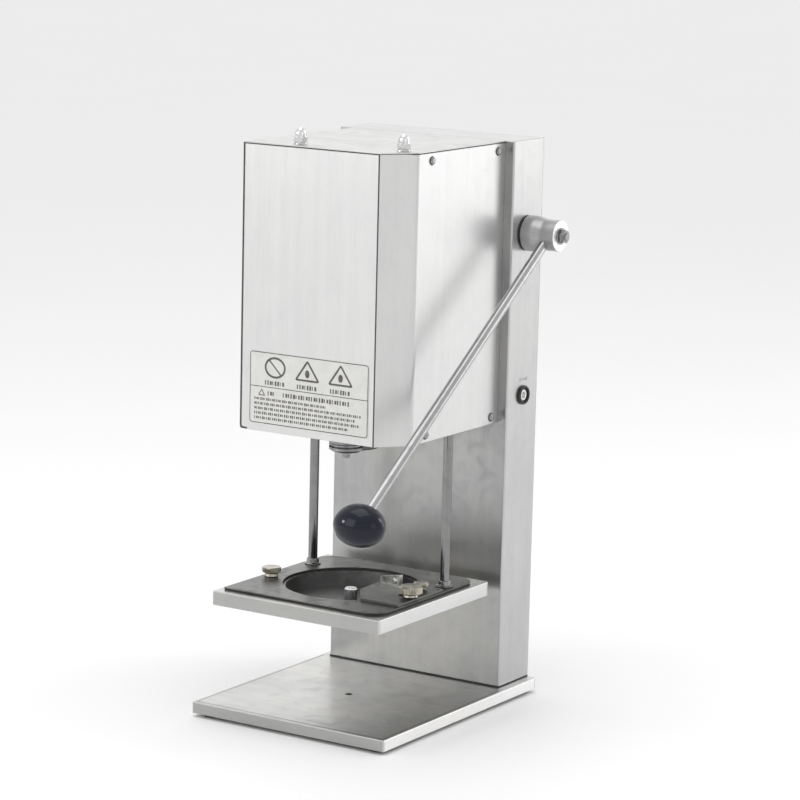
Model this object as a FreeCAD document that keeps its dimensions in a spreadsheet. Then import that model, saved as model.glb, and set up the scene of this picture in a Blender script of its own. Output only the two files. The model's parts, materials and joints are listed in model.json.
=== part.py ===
import FreeCAD, Part
import math
import os
import re
import Sketcher

# Cup sealing machine: a lever lifts a cup tray on two guide rods up to a motor-driven seaming head.
# Frame: +Z up, +X to the lever's side, -Y to the operator. The origin is the centre of the base
# plate's underside. Lengths are millimetres and angles are degrees.

Vector = FreeCAD.Vector
doc = FreeCAD.newDocument("CupSealer")
sheet = doc.addObject("Spreadsheet::Sheet", "Sizes")
nodes = {}


# ---------------------------------------------------------------- driving dimensions

class Size:
    """A length that knows both its value and the cells it is worked out from."""

    def __init__(self, value, text):
        self.value = value
        self.text = text

    def __add__(self, other):
        other = as_size(other)
        return Size(self.value + other.value, f"({self.text} + {other.text})")

    def __sub__(self, other):
        other = as_size(other)
        return Size(self.value - other.value, f"({self.text} - {other.text})")

    def __mul__(self, other):
        other = as_size(other)
        return Size(self.value * other.value, f"({self.text} * {other.text})")

    def __truediv__(self, other):
        other = as_size(other)
        return Size(self.value / other.value, f"({self.text} / {other.text})")

    def __radd__(self, other):
        return as_size(other) + self

    def __rsub__(self, other):
        return as_size(other) - self

    def __rmul__(self, other):
        return as_size(other) * self

    def __neg__(self):
        return Size(-self.value, f"(0 - {self.text})")


def as_size(number):
    """A plain number becomes a Size whose text is the number itself."""
    if isinstance(number, Size):
        return number
    return Size(float(number), repr(float(number)))


def cell(alias, value, note):
    """Write one driving dimension into the sheet and return it."""
    row = str(cell.row)
    cell.row += 1
    sheet.set("A" + row, note)
    sheet.set("B" + row, str(value))
    sheet.setAlias("B" + row, alias)
    return Size(float(value), "Sizes." + alias)


cell.row = 1

base_width = cell("base_width", 240, "base plate, side to side")
base_depth = cell("base_depth", 305, "base plate, front to back")
base_height = cell("base_height", 12.2, "folded base plate's height")
base_gauge = cell("base_gauge", 1.5, "sheet thickness of base, column and tray")
bend_radius = cell("bend_radius", 2.2, "outside radius of a folded edge")
soft_edge = cell("soft_edge", 1.2, "radius of a sheet's rounded upper edge")
foot_drop = cell("foot_drop", 4, "how far the feet stand below the base plate")
stud_spread = cell("stud_spread", 80, "column studs from the middle plane")
stud_front = cell("stud_front", 108, "front pair of column studs, front to back")
stud_rear = cell("stud_rear", 136, "rear pair of column studs, front to back")
stud_radius = cell("stud_radius", 3, "column stud's radius")
column_width = cell("column_width", 219, "column, side to side")
column_depth = cell("column_depth", 61.5, "column, front to back")
column_top = cell("column_top", 601, "top of column and head above the base plate's underside")
gasket_gauge = cell("gasket_gauge", 1.2, "black strip between column and base plate")
flange_width = cell("flange_width", 14, "column's return flanges at the back")
head_left = cell("head_left", 94, "head casing's left side from the middle plane")
head_right = cell("head_right", 98.5, "head casing's right side from the middle plane")
head_reach = cell("head_reach", 200.8, "head casing in front of the column")
head_bottom = cell("head_bottom", 301.7, "head casing's lower edge")
head_gauge = cell("head_gauge", 1.2, "sheet thickness of the head casing")
seam_gap = cell("seam_gap", 0.4, "open joint between two casing panels")
touch_gap = cell("touch_gap", 0.1, "play between the head's sheets and the column")
chamfer_wide = cell("chamfer_wide", 25.6, "slanted corner, side to side")
chamfer_deep = cell("chamfer_deep", 31.7, "slanted corner, front to back")
axis_y = cell("axis_y", -34, "seaming axis, tray and cup recess, front to back")
tray_width = cell("tray_width", 207.4, "cup tray, side to side")
tray_depth = cell("tray_depth", 214.6, "cup tray, front to back")
tray_top = cell("tray_top", 132.2, "cup tray's folded top in its lowest place")
tray_height = cell("tray_height", 15, "cup tray's folded edge")
deck_gauge = cell("deck_gauge", 8, "thick deck plate under the tray's sheet")
gasket_height = cell("gasket_height", 1.7, "black sheet between tray and inset plate")
inset_gauge = cell("inset_gauge", 1.1, "inset plate's thickness")
inset_half = cell("inset_half", 96.4, "inset plate's edge from the middle plane")
inset_front = cell("inset_front", -130.5, "inset plate's front edge")
inset_back = cell("inset_back", 62, "inset plate's rear edge")
inset_corner = cell("inset_corner", 20, "inset plate's corner radius, but for the square front left one")
recess_radius = cell("recess_radius", 73, "round cup recess")
recess_floor = cell("recess_floor", 115.5, "top of the recess's floor")
dish_wall = cell("dish_wall", 2.7, "cup dish's wall")
rod_radius = cell("rod_radius", 5, "guide rod's radius")
rod_spread = cell("rod_spread", 84, "guide rod from the middle plane")
rod_y = cell("rod_y", 16, "guide rods, front to back")
rod_length = cell("rod_length", 262, "guide rod's length")
crosshead_bottom = cell("crosshead_bottom", 344, "crosshead's lower face in its lowest place")
crosshead_height = cell("crosshead_height", 12, "crosshead's thickness")
fit_gap = cell("fit_gap", 0.05, "radial running clearance of shafts, pins and bushes")
press_gap = cell("press_gap", 0.03, "radial clearance of pieces that are clamped together")
clear_gap = cell("clear_gap", 0.2, "clearance of holes and edges that guide nothing")
centre_shaft = cell("centre_shaft", 6, "fixed centre shaft's radius")
board_left = cell("board_left", 24, "circuit board's left edge")
board_right = cell("board_right", 84, "circuit board's right edge")
board_front = cell("board_front", -74, "circuit board's front edge")
board_back = cell("board_back", -10, "circuit board's rear edge")
board_rise = cell("board_rise", 10, "circuit board above the motor plate")
post_inset = cell("post_inset", 4, "circuit board's posts from its edges")
shaft_radius = cell("shaft_radius", 10, "lever shaft's radius")
shaft_y = cell("shaft_y", 123, "lever shaft's axis, front to back")
shaft_z = cell("shaft_z", 502, "lever shaft's axis, height")
shaft_bush = cell("shaft_bush", 13, "outside radius of the lever shaft's bushes")
hub_radius = cell("hub_radius", 19, "lever hub next to the column")
hub_end_radius = cell("hub_end_radius", 16.6, "lever hub's outer end")
hub_end = cell("hub_end", 150, "lever hub's end face from the middle plane")
end_wall = cell("hub_end_wall", 3.9, "lever hub's end wall")
side_play = cell("side_play", 0.3, "play of hub and collar along the lever shaft")
lever_x = cell("lever_x", 137, "lever rod from the middle plane")
lever_tilt = cell("lever_tilt", 35.3, "lever below the horizontal at rest")
lever_reach = cell("lever_reach", 434, "shaft axis to the middle of the knob")
lever_radius = cell("lever_radius", 5.3, "lever rod's radius")
knob_long = cell("knob_long", 28, "knob's half length, along the shaft")
knob_round = cell("knob_round", 21.5, "knob's half thickness")
gear_module = cell("gear_module", 2.5, "module of sector and rack")
gear_width = cell("gear_width", 12, "width of sector and rack")
sector_teeth = cell("sector_teeth", 36, "teeth of the whole circle of the sector")
lever_swing = cell("lever_swing", 75, "lever's swing")
spare_teeth = cell("spare_teeth", 1.4, "sector's teeth beyond each end of the swing")
gear_backlash = cell("gear_backlash", 0.4, "backlash of the sector's teeth")
sector_boss = cell("sector_boss", 18, "sector's boss on the lever shaft, radius")
sector_boss_reach = cell("sector_boss_reach", 4, "sector's boss beyond each side of its teeth")
rack_back = cell("rack_back", 12, "rack's back behind its pitch line")
rack_cap = cell("rack_cap", 6, "rack above its highest tooth")
drive_module = cell("drive_module", 1.5, "module of the head's drive gears")
spindle_teeth = cell("spindle_teeth", 54, "spindle gear's teeth")
pinion_teeth = cell("pinion_teeth", 18, "motor pinion's teeth")
chuck_radius = cell("chuck_radius", 27, "seaming chuck's radius")
chuck_bottom = cell("chuck_bottom", 283, "seaming chuck's lower face")
carrier_radius = cell("carrier_radius", 70, "roller carrier's radius")
carrier_bottom = cell("carrier_bottom", 312, "roller carrier's lower face")
arm_reach = cell("arm_reach", 42, "arm pivot from the seaming axis, on both axes of the carrier")
roller_reach = cell("roller_reach", 50, "roller pin from the seaming axis")
rest_turn = cell("rest_turn", -66.7, "carrier's turn at rest, degrees from the lever's side")
arm_boss = cell("arm_boss", 8, "roller arm's bosses, radius")
arm_gauge = cell("arm_gauge", 6, "roller arm's thickness")
arm_drop = cell("arm_drop", 8.4, "roller arm's lower face below the carrier")
roller_radius = cell("roller_radius", 18, "seaming roller's radius")
roller_height = cell("roller_height", 14.4, "seaming roller's height")
groove_deep = cell("groove_deep", 1.6, "seaming roller's groove, depth")
groove_low = cell("groove_low", 6, "seaming roller's groove, lower edge above its foot")
groove_high = cell("groove_high", 7.6, "seaming roller's groove, upper edge above its foot")
pin_cap = cell("pin_cap", 7, "cap under the roller's pin, radius")
pin_cap_gauge = cell("pin_cap_gauge", 1.5, "cap under the roller's pin, thickness")
pin_nut_across = cell("pin_nut_across", 8, "roller pin's nut, across flats")
pin_nut_height = cell("pin_nut_height", 5, "roller pin's nut, height")
plate_bottom = cell("plate_bottom", 322, "bearing plate's lower face")
motor_plate_bottom = cell("motor_plate_bottom", 396, "motor plate's lower face")
inlet_z = cell("inlet_z", 328, "power inlet's height")
inlet_radius = cell("inlet_radius", 10.4, "power inlet's black ring")
inlet_bore = cell("inlet_bore", 7.9, "inlet ring's bore")
jaw_gauge = cell("jaw_gauge", 2.5, "jaw plate's thickness")
jaw_travel = cell("jaw_travel", 12, "jaw's travel")
slot_half = cell("slot_half", 3.3, "half width of the jaw's slots")

bearing_gauge = cell("bearing_gauge", 10, "bearing plate's thickness")
motor_plate_gauge = cell("motor_plate_gauge", 6, "motor plate's thickness")
bore_past = cell("bore_past", 1, "how far a cutting tool runs past the faces that it cuts")

column_front = base_depth / 2 - column_depth
column_bottom = base_height + gasket_gauge
head_front = column_front - head_reach
head_back = column_front - touch_gap
tray_bottom = tray_top - tray_height
tray_front = axis_y - tray_depth / 2
tray_back = axis_y + tray_depth / 2
deck_top = tray_top - base_gauge
deck_bottom = deck_top - deck_gauge
inset_bottom = tray_top + gasket_height
inset_top = inset_bottom + inset_gauge
jaw_bottom = inset_top + clear_gap
jaw_top = jaw_bottom + jaw_gauge
plate_top = plate_bottom + bearing_gauge
motor_plate_top = motor_plate_bottom + motor_plate_gauge


# ---------------------------------------------------------------- building helpers

AXES = {
    "+X": Vector(1, 0, 0),
    "-X": Vector(-1, 0, 0),
    "+Y": Vector(0, 1, 0),
    "-Y": Vector(0, -1, 0),
    "+Z": Vector(0, 0, 1),
}


def bind(item, prop, size):
    """Tie one property of an object to the sheet."""
    item.setExpression(prop, as_size(size).text)


def place(item, x, y, z):
    """Tie an object's place to the sheet."""
    for letter, size in zip("xyz", (x, y, z)):
        bind(item, "Placement.Base." + letter, size)


def box(name, x, y, z):
    """A block that runs between two sizes on each axis."""
    item = doc.addObject("Part::Box", name)
    for side, (low, high) in zip(("Length", "Width", "Height"), (x, y, z)):
        bind(item, side, as_size(high) - low)
    place(item, x[0], y[0], z[0])
    return item


def cylinder(name, radius, length, at, along="+Z"):
    """A round bar that starts at a point and runs along an axis."""
    item = doc.addObject("Part::Cylinder", name)
    bind(item, "Radius", radius)
    bind(item, "Height", length)
    item.Placement.Rotation = FreeCAD.Rotation(Vector(0, 0, 1), AXES[along])
    place(item, *at)
    return item


def bore_through(name, radius, bottom, top, spot):
    """An upright cutting bar that runs past both faces of the plate it bores."""
    foot = as_size(bottom) - bore_past
    return cylinder(name, radius, top + bore_past - foot, (*spot, foot))


def prism(name, across_flats, length, at, along="+Z"):
    """A hexagonal bar, given by its width across flats."""
    item = doc.addObject("Part::Prism", name)
    item.Polygon = 6
    bind(item, "Circumradius", as_size(across_flats) / math.sqrt(3))
    bind(item, "Height", length)
    item.Placement.Rotation = FreeCAD.Rotation(Vector(0, 0, 1), AXES[along])
    place(item, *at)
    return item


def fuse(name, *items):
    """Several overlapping objects joined in one."""
    item = doc.addObject("Part::MultiFuse", name)
    item.Shapes = list(items)
    return item


def group(name, *items):
    """Several separate solids kept together."""
    item = doc.addObject("Part::Compound", name)
    item.Links = list(items)
    return item


def cut(name, base, *tools):
    """One object with others taken out of it."""
    item = doc.addObject("Part::Cut", name)
    item.Base = base
    item.Tool = tools[0] if len(tools) == 1 else group(name + "_tools", *tools)
    return item


def outline(body, name, plane, points, offset=0):
    """A closed sketch of straight lines whose corners are tied to the sheet."""
    sketch = body.newObject("Sketcher::SketchObject", name)
    support = [item for item in body.Origin.OriginFeatures if item.Role == plane][0]
    sketch.AttachmentSupport = [(support, "")]
    sketch.MapMode = "FlatFace"
    bind(sketch, "AttachmentOffset.Base.z", offset)
    corners = [(as_size(across), as_size(up)) for across, up in points]
    places = [Vector(across.value, up.value, 0) for across, up in corners]
    count = len(places)
    for index in range(count):
        sketch.addGeometry(Part.LineSegment(places[index], places[(index + 1) % count]), False)
    for index in range(count):
        sketch.addConstraint(Sketcher.Constraint("Coincident", index, 2, (index + 1) % count, 1))
    for index, corner in enumerate(corners):
        for kind, size in zip(("DistanceX", "DistanceY"), corner):
            number = sketch.addConstraint(Sketcher.Constraint(kind, -1, 1, index, 1, size.value))
            label = kind[-1].lower() + "_corner_" + str(index)
            sketch.renameConstraint(number, label)
            bind(sketch, "Constraints." + label, size)
    return sketch


def slab(name, points, bottom, top):
    """A flat plate: an outline seen from above, between two heights."""
    body = doc.addObject("PartDesign::Body", name)
    sketch = outline(body, name + "_outline", "XY_Plane", points, bottom)
    pad = body.newObject("PartDesign::Pad", name + "_pad")
    pad.Profile = sketch
    bind(pad, "Length", as_size(top) - bottom)
    sketch.Visibility = False
    return body


def turned(name, points, at, along="+Z"):
    """A lathe-turned piece: an outline of (radius, height) pairs spun about its own axis."""
    body = doc.addObject("PartDesign::Body", name)
    sketch = outline(body, name + "_outline", "XZ_Plane", points)
    spin = body.newObject("PartDesign::Revolution", name + "_turn")
    spin.Profile = sketch
    spin.ReferenceAxis = (sketch, ["V_Axis"])
    spin.Angle = 360
    sketch.Visibility = False
    body.Placement.Rotation = FreeCAD.Rotation(Vector(0, 0, 1), AXES[along])
    place(body, *at)
    return body


def round_edges(body, radius, wanted):
    """Fillet the edges of a body's last feature that a test picks out."""
    doc.recompute()
    feature = body.Tip
    names = ["Edge" + str(number + 1) for number, edge in enumerate(feature.Shape.Edges) if wanted(edge)]
    fillet = body.newObject("PartDesign::Fillet", body.Name + "_fillet_" + str(len(body.Group)))
    fillet.Base = (feature, names)
    bind(fillet, "Radius", radius)
    return body


def upright(edge):
    """Is this a straight edge that runs up and down?"""
    bounds = edge.BoundBox
    return bounds.XLength < 0.01 and bounds.YLength < 0.01


def at_height(size):
    """A test for edges that lie flat at one height."""
    def wanted(edge):
        bounds = edge.BoundBox
        return bounds.ZLength < 0.01 and abs(bounds.ZMin - as_size(size).value) < 0.01
    return wanted


def node(item, name):
    """Give a finished sub-part its name."""
    item.Label = name
    nodes[name] = item
    return item


def rectangle(x, y):
    """The four corners between two sizes on X and two on Y."""
    return [(x[0], y[0]), (x[1], y[0]), (x[1], y[1]), (x[0], y[1])]


def corners(x, y):
    """Four places, mirrored about the middle plane of the machine."""
    return [(side * x, depth) for depth in y for side in (-1, 1)]


# ---------------------------------------------------------------- gears

def involute(angle):
    """The involute function of a pressure angle."""
    return math.tan(angle) - angle


def gear_face(module, teeth, backlash, turn=0.0):
    """A spur gear's face in the XY plane, with a tooth on +X before it is turned."""
    pressure = math.radians(20)
    pitch = module * teeth / 2
    base = pitch * math.cos(pressure)
    root = pitch - 1.25 * module
    tip = pitch + 0.95 * module
    half = math.pi / (2 * teeth) - backlash / (2 * pitch)
    flank = []
    start = max(base, root)
    steps = 5
    for step in range(steps + 1):
        radius = start + (tip - start) * step / steps
        swing = half + involute(pressure) - involute(math.acos(min(1.0, base / radius)))
        flank.append((radius, swing))
    points = []
    for tooth in range(teeth):
        middle = math.radians(turn) + 2 * math.pi * tooth / teeth
        rising = [(root, -flank[0][1])] if root < base else []
        rising += [(radius, -swing) for radius, swing in flank]
        falling = [(radius, -swing) for radius, swing in reversed(rising)]
        for radius, swing in rising + falling:
            angle = middle + swing
            points.append(Vector(radius * math.cos(angle), radius * math.sin(angle), 0))
    points.append(points[0])
    return Part.Face(Part.makePolygon(points))


def drive_gear(name, teeth, width, bore, turn):
    """One of the head's two drive gears, its axis on Z and its lower face at zero."""
    item = doc.addObject("Part::Feature", name)
    blank = gear_face(sheet.get("drive_module"), int(teeth.value), 0.25, turn)
    blank = blank.extrude(Vector(0, 0, width))
    item.Shape = blank.cut(Part.makeCylinder(bore, width))
    return item


# ---------------------------------------------------------------- base

def make_base():
    fold = (base_width / 2, base_depth / 2)
    pan = slab("base_pan", rectangle((-fold[0], fold[0]), (-fold[1], fold[1])), 0, base_height)
    round_edges(pan, bend_radius, upright)
    round_edges(pan, soft_edge, at_height(base_height))
    hollow = box(
        "base_hollow",
        (base_gauge - fold[0], fold[0] - base_gauge),
        (base_gauge - fold[1], fold[1] - base_gauge),
        (-bore_past, base_height - base_gauge),
    )
    drain_radius = cell("drain_radius", 4, "drain hole's radius")
    drain_x = cell("drain_x", -5, "drain hole, side to side")
    drain_y = cell("drain_y", -28, "drain hole, front to back")
    drain = bore_through("base_drain", drain_radius, 0, base_height, (drain_x, drain_y))
    holes = [
        bore_through("base_stud_hole_" + str(number), stud_radius + clear_gap, 0, base_height, spot)
        for number, spot in enumerate(corners(stud_spread, (stud_front, stud_rear)))
    ]
    node(cut("base_plate_part", pan, hollow, drain, *holes), "base_plate")

    radius = cell("foot_radius", 10, "rubber foot's radius")
    inset = cell("foot_inset", 16, "foot centre from the base plate's edges")
    screw = cell("foot_screw", 2.2, "foot screw hole's radius")
    socket = cell("foot_socket", 5.5, "radius of the socket that hides the foot's screw")
    socket_height = cell("foot_socket_height", 6, "height of the foot's socket")
    bevel = cell("foot_bevel", 1.5, "foot's lower bevel")
    height = foot_drop + base_height - base_gauge
    feet = [
        turned(
            "foot_" + str(number),
            [
                (screw, height),
                (screw, socket_height),
                (socket, socket_height),
                (socket, 0),
                (radius - bevel, 0),
                (radius, bevel),
                (radius, height),
            ],
            (x, y, -foot_drop),
        )
        for number, (x, y) in enumerate(corners(fold[0] - inset, (inset - fold[1], fold[1] - inset)))
    ]
    node(group("rubber_feet_part", *feet), "rubber_feet")


# ---------------------------------------------------------------- column

def make_column():
    half = column_width / 2
    back = base_depth / 2 - base_gauge
    shell = slab("column_bent", rectangle((-half, half), (column_front, back)), column_bottom, column_top)
    round_edges(shell, bend_radius, lambda edge: upright(edge) and edge.BoundBox.YMin < back.value - 1)
    round_edges(shell, soft_edge, lambda edge: at_height(column_top)(edge) and
                edge.BoundBox.YMin < back.value - 1)
    cavity = box(
        "column_cavity",
        (base_gauge - half, half - base_gauge),
        (column_front + base_gauge, back - base_gauge),
        (column_bottom - bore_past, column_top - base_gauge),
    )
    mouth = box(
        "column_mouth",
        (flange_width - half, half - flange_width),
        (back - base_gauge - bore_past, back + bore_past),
        (column_bottom - bore_past, column_top - flange_width),
    )
    window_half = cell("window_half", 9, "half width of the sector gear's window")
    window_tall = cell("window_tall", 52, "half height of the sector gear's window")
    window = box(
        "sector_window",
        (-window_half, window_half),
        (column_front - bore_past, column_front + base_gauge + bore_past),
        (shaft_z - window_tall, shaft_z + window_tall),
    )
    bush_hole = cylinder(
        "bush_hole",
        shaft_bush + fit_gap,
        column_width + 2 * bore_past,
        (-half - bore_past, shaft_y, shaft_z),
        "+X",
    )
    inlet_hole = cylinder(
        "inlet_hole",
        inlet_bore + press_gap,
        base_gauge + 2 * bore_past,
        (half - base_gauge - bore_past, shaft_y, inlet_z),
        "+X",
    )
    node(cut("column_shell_part", shell, cavity, mouth, window, bush_hole, inlet_hole), "column_shell")

    strip = cell("gasket_strip", 4, "width of the strip under the column")
    ring = box("gasket_block", (-half, half), (column_front, base_depth / 2), (base_height, column_bottom))
    inner = box(
        "gasket_hole",
        (strip - half, half - strip),
        (column_front + strip, base_depth / 2 - strip),
        (base_height - bore_past, column_bottom + bore_past),
    )
    node(cut("column_gasket_part", ring, inner), "column_gasket")

    cover = slab(
        "column_back_sheet",
        rectangle((-half, half), (back, base_depth / 2)),
        column_bottom,
        column_top,
    )
    node(cover, "column_back_cover")
    low_screw = cell("cover_screw_low", 27, "lowest cover screw above the column's foot")
    high_screw = cell("cover_screw_high", 24, "highest cover screw below the column's top")
    screw_radius = cell("cover_screw", 4, "cover screw head's radius")
    screw_proud = cell("cover_screw_proud", 2.3, "cover screw head's height")
    screw_x = half - flange_width / 2
    heights = (column_bottom + low_screw, (column_bottom + column_top) / 2, column_top - high_screw)
    screws = [
        screw_head(
            f"back_screw_{level}_{side + 1}",
            screw_radius,
            screw_proud,
            (side * screw_x, base_depth / 2, height),
            "+Y",
        )
        for level, height in enumerate(heights)
        for side in (-1, 1)
    ]
    node(group("back_cover_screws_part", *screws), "back_cover_screws")

    plate_half = cell("foot_plate_half", 100, "column foot plate's edge from the middle plane")
    plate_gauge = cell("foot_plate_gauge", 6, "column foot plate's thickness")
    plate_gap = cell("foot_plate_gap", 6, "column foot plate's edge behind the column's front")
    foot = slab(
        "column_foot",
        rectangle((-plate_half, plate_half), (column_front + plate_gap, back - plate_gap)),
        base_height,
        base_height + plate_gauge,
    )
    stud_length = cell("stud_length", 15, "column stud's length")
    stud_drop = cell("stud_drop", 9, "column stud's end below the foot plate")
    studs = [
        cylinder("column_stud_" + str(number), stud_radius, stud_length, (x, y, base_height - stud_drop))
        for number, (x, y) in enumerate(corners(stud_spread, (stud_front, stud_rear)))
    ]
    node(fuse("column_foot_part", foot, *studs), "column_foot_plate")


def screw_head(name, radius, height, at, along):
    """A low rounded screw head that stands on a sheet."""
    return turned(
        name,
        [
            (0, 0),
            (radius, 0),
            (radius * 0.85, height * 0.65),
            (radius * 0.45, height),
            (0, height),
        ],
        at,
        along,
    )


# ---------------------------------------------------------------- head casing

def casing_points(inset):
    """The head casing seen from above, drawn in by the same distance on every side."""
    length = math.hypot(chamfer_wide.value, chamfer_deep.value)
    wide_part = chamfer_wide.value / length
    deep_part = chamfer_deep.value / length
    slip_front = inset * (1 - wide_part) / deep_part
    slip_side = inset * (1 - deep_part) / wide_part
    left = as_size(inset) - head_left
    right = head_right - inset
    front = head_front + inset
    return [
        (left, front),
        (head_right - chamfer_wide - slip_front, front),
        (right, head_front + chamfer_deep + slip_side),
        (right, head_back),
        (left, head_back),
    ]


def make_casing():
    panel_top = column_top - head_gauge - seam_gap
    corner_x = head_right - chamfer_wide
    front_edge = corner_x - head_gauge - touch_gap
    front = slab(
        "front_sheet",
        rectangle((-head_left, front_edge), (head_front, head_front + head_gauge)),
        head_bottom,
        panel_top,
    )
    node(front, "front_panel")
    side_front = head_front + head_gauge + seam_gap
    left = slab(
        "left_sheet",
        rectangle((-head_left, head_gauge - head_left), (side_front, head_back)),
        head_bottom,
        panel_top,
    )
    node(left, "left_panel")
    outer = casing_points(0)
    inner = casing_points(head_gauge.value)
    length = math.hypot(chamfer_wide.value, chamfer_deep.value)
    hem = (
        corner_x - head_gauge * (chamfer_deep.value / length),
        head_front + head_gauge * (chamfer_wide.value / length),
    )
    right = slab(
        "right_sheet",
        [(corner_x, head_front), outer[2], outer[3], inner[3], inner[2], hem],
        head_bottom,
        panel_top,
    )
    node(right, "right_panel")
    make_lid()

    bottom_top = head_bottom + base_gauge
    draw_in = head_gauge.value + clear_gap.value
    bottom = slab("bottom_sheet", casing_points(draw_in), head_bottom, bottom_top)
    mouth_gap = cell("mouth_gap", 3, "the head's mouth round the carrier")
    rod_gap = cell("rod_hole_gap", 1.5, "the head's holes round the guide rods")
    mouth = bore_through("head_mouth", carrier_radius + mouth_gap, head_bottom, bottom_top, (0, axis_y))
    rod_holes = [
        bore_through(
            "bottom_rod_hole_" + str(side),
            rod_radius + rod_gap,
            head_bottom,
            bottom_top,
            (side * rod_spread, rod_y),
        )
        for side in (-1, 1)
    ]
    node(cut("head_bottom_part", bottom, mouth, *rod_holes), "head_bottom_plate")

    front_screw = cell("panel_screw_front", -53, "front panel screws, front to back")
    rear_screw = cell("panel_screw_rear", 76.5, "rear panel screws, front to back")
    low_screw = cell("panel_screw_low", 7.6, "lower panel screws above the head's lower edge")
    high_screw = cell("panel_screw_high", 10, "upper panel screws below the head's top")
    radius = cell("panel_screw", 4.1, "panel screw head's radius")
    proud = cell("panel_screw_proud", 2.6, "panel screw head's height")
    screws = []
    for side, wall, along in ((-1, -head_left, "-X"), (1, head_right, "+X")):
        for row, y in enumerate((front_screw, rear_screw)):
            for level, z in enumerate((head_bottom + low_screw, column_top - high_screw)):
                name = f"panel_screw_{side + 1}_{row}_{level}"
                screws.append(screw_head(name, radius, proud, (wall, y, z), along))
    node(group("panel_screws_part", *screws), "panel_screws")

    label_left = cell("label_left", -82, "label's left edge")
    label_right = cell("label_right", 65.4, "label's right edge")
    label_low = cell("label_low", 8, "label's lower edge above the head's")
    label_tall = cell("label_tall", 76, "label's height")
    label_gauge = cell("label_gauge", 0.4, "label's thickness")
    label = slab(
        "label_sheet",
        rectangle((label_left, label_right), (head_front - label_gauge, head_front)),
        head_bottom + label_low,
        head_bottom + label_low + label_tall,
    )
    node(label, "front_label")


def make_lid():
    """The lid, its two dome nuts, and the rails and studded bridge that hold the casing."""
    nut_left_x = cell("nut_left_x", -37, "left dome nut, side to side")
    nut_left_y = cell("nut_left_y", -90, "left dome nut, front to back")
    nut_right_x = cell("nut_right_x", 76.5, "right dome nut, side to side")
    nut_right_y = cell("nut_right_y", -72, "right dome nut, front to back")
    thread = cell("lid_stud", 4, "lid stud's radius")
    washer_gauge = cell("washer_gauge", 1.2, "dome nut's washer, thickness")
    nut_height = cell("nut_height", 6.5, "dome nut's hexagon, height")
    across = cell("nut_across", 12.6, "dome nut's hexagon, across flats")
    washer_radius = cell("nut_washer", 7.2, "dome nut's washer, radius")
    stud_length = cell("lid_stud_length", 18.5, "lid stud's length")
    stud_drop = cell("lid_stud_drop", 8.5, "lid stud's lower end below the lid's top")
    lid_edge = cell("lid_edge", 0.5, "radius of the lid's upper edge")
    bridge_left = cell("bridge_left", -92, "bridge's left end")
    bridge_right = cell("bridge_right", 90, "bridge's right end")
    bridge_front = cell("bridge_front", -104, "bridge's front edge")
    bridge_back = cell("bridge_back", -56, "bridge's rear edge")
    bridge_drop = cell("bridge_drop", 9, "bridge's lower face below the lid's top")
    lid = slab("lid_sheet", casing_points(0), column_top - head_gauge, column_top)
    round_edges(lid, lid_edge, at_height(column_top))
    bridge = slab(
        "lid_bridge",
        [
            (bridge_left, bridge_front),
            (bridge_right - chamfer_wide, bridge_front),
            (bridge_right, bridge_front + chamfer_deep),
            (bridge_right, bridge_back),
            (bridge_left, bridge_back),
        ],
        column_top - bridge_drop,
        column_top - head_gauge - clear_gap,
    )
    dome_radius = cell("dome_radius", 6, "dome nut's round end, radius")
    dome_foot = cell("dome_foot", 3, "dome nut's round end, straight part")
    dome_height = cell("dome_height", 9.8, "dome nut's round end, height")
    dome_points = [(0, 0), (dome_radius, 0)]
    dome_steps = 5
    for step in range(dome_steps + 1):
        turn = math.pi / 2 * step / dome_steps
        rise = (dome_height - dome_foot) * math.sin(turn)
        dome_points.append((dome_radius * round(math.cos(turn), 9), dome_foot + rise))
    lid_holes, studs, nuts = [], [], []
    for number, (x, y) in enumerate(((nut_left_x, nut_left_y), (nut_right_x, nut_right_y))):
        lid_holes.append(bore_through(
            "lid_hole_" + str(number),
            thread + clear_gap,
            column_top - head_gauge,
            column_top,
            (x, y),
        ))
        studs.append(cylinder("stud_" + str(number), thread, stud_length, (x, y, column_top - stud_drop)))
        washer = cylinder("nut_washer_" + str(number), washer_radius, washer_gauge, (x, y, column_top))
        hexagon = prism("nut_body_" + str(number), across, nut_height, (x, y, column_top + washer_gauge))
        dome = turned(
            "nut_dome_" + str(number),
            dome_points,
            (x, y, column_top + washer_gauge + nut_height),
        )
        hole = bore_through(
            "nut_hole_" + str(number),
            thread + fit_gap,
            column_top,
            column_top + stud_length - stud_drop,
            (x, y),
        )
        blank = fuse("nut_blank_" + str(number), washer, hexagon, dome)
        nuts.append(cut("acorn_nut_" + str(number), blank, hole))
    node(cut("lid_part", lid, *lid_holes), "lid")
    node(group("acorn_nuts_part", *nuts), "acorn_nuts")

    rail_gauge = cell("rail_gauge", 3, "casing rail's thickness")
    rail_front = cell("rail_front", -70, "casing rails' front end")
    rail_gap = cell("rail_gap", 8, "lower rails' upper edge below the bearing plate")
    rail_top = cell("rail_top", 10, "upper rails' upper edge below the lid's top")
    rail_tall = cell("rail_tall", 14, "upper rails' height")
    left_wall = head_gauge - head_left
    right_wall = head_right - head_gauge
    lower = (head_bottom + base_gauge, plate_bottom - rail_gap)
    upper = (column_top - rail_top - rail_tall, column_top - rail_top)
    rails = []
    for level, height in enumerate((lower, upper)):
        run = (rail_front, head_back)
        rails.append(box(f"left_rail_{level}", (left_wall, left_wall + rail_gauge), run, height))
        rails.append(box(f"right_rail_{level}", (right_wall - rail_gauge, right_wall), run, height))
    node(group("casing_frame_part", fuse("lid_bridge_solid", bridge, *studs), *rails), "casing_frame")


# ---------------------------------------------------------------- seaming head

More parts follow.
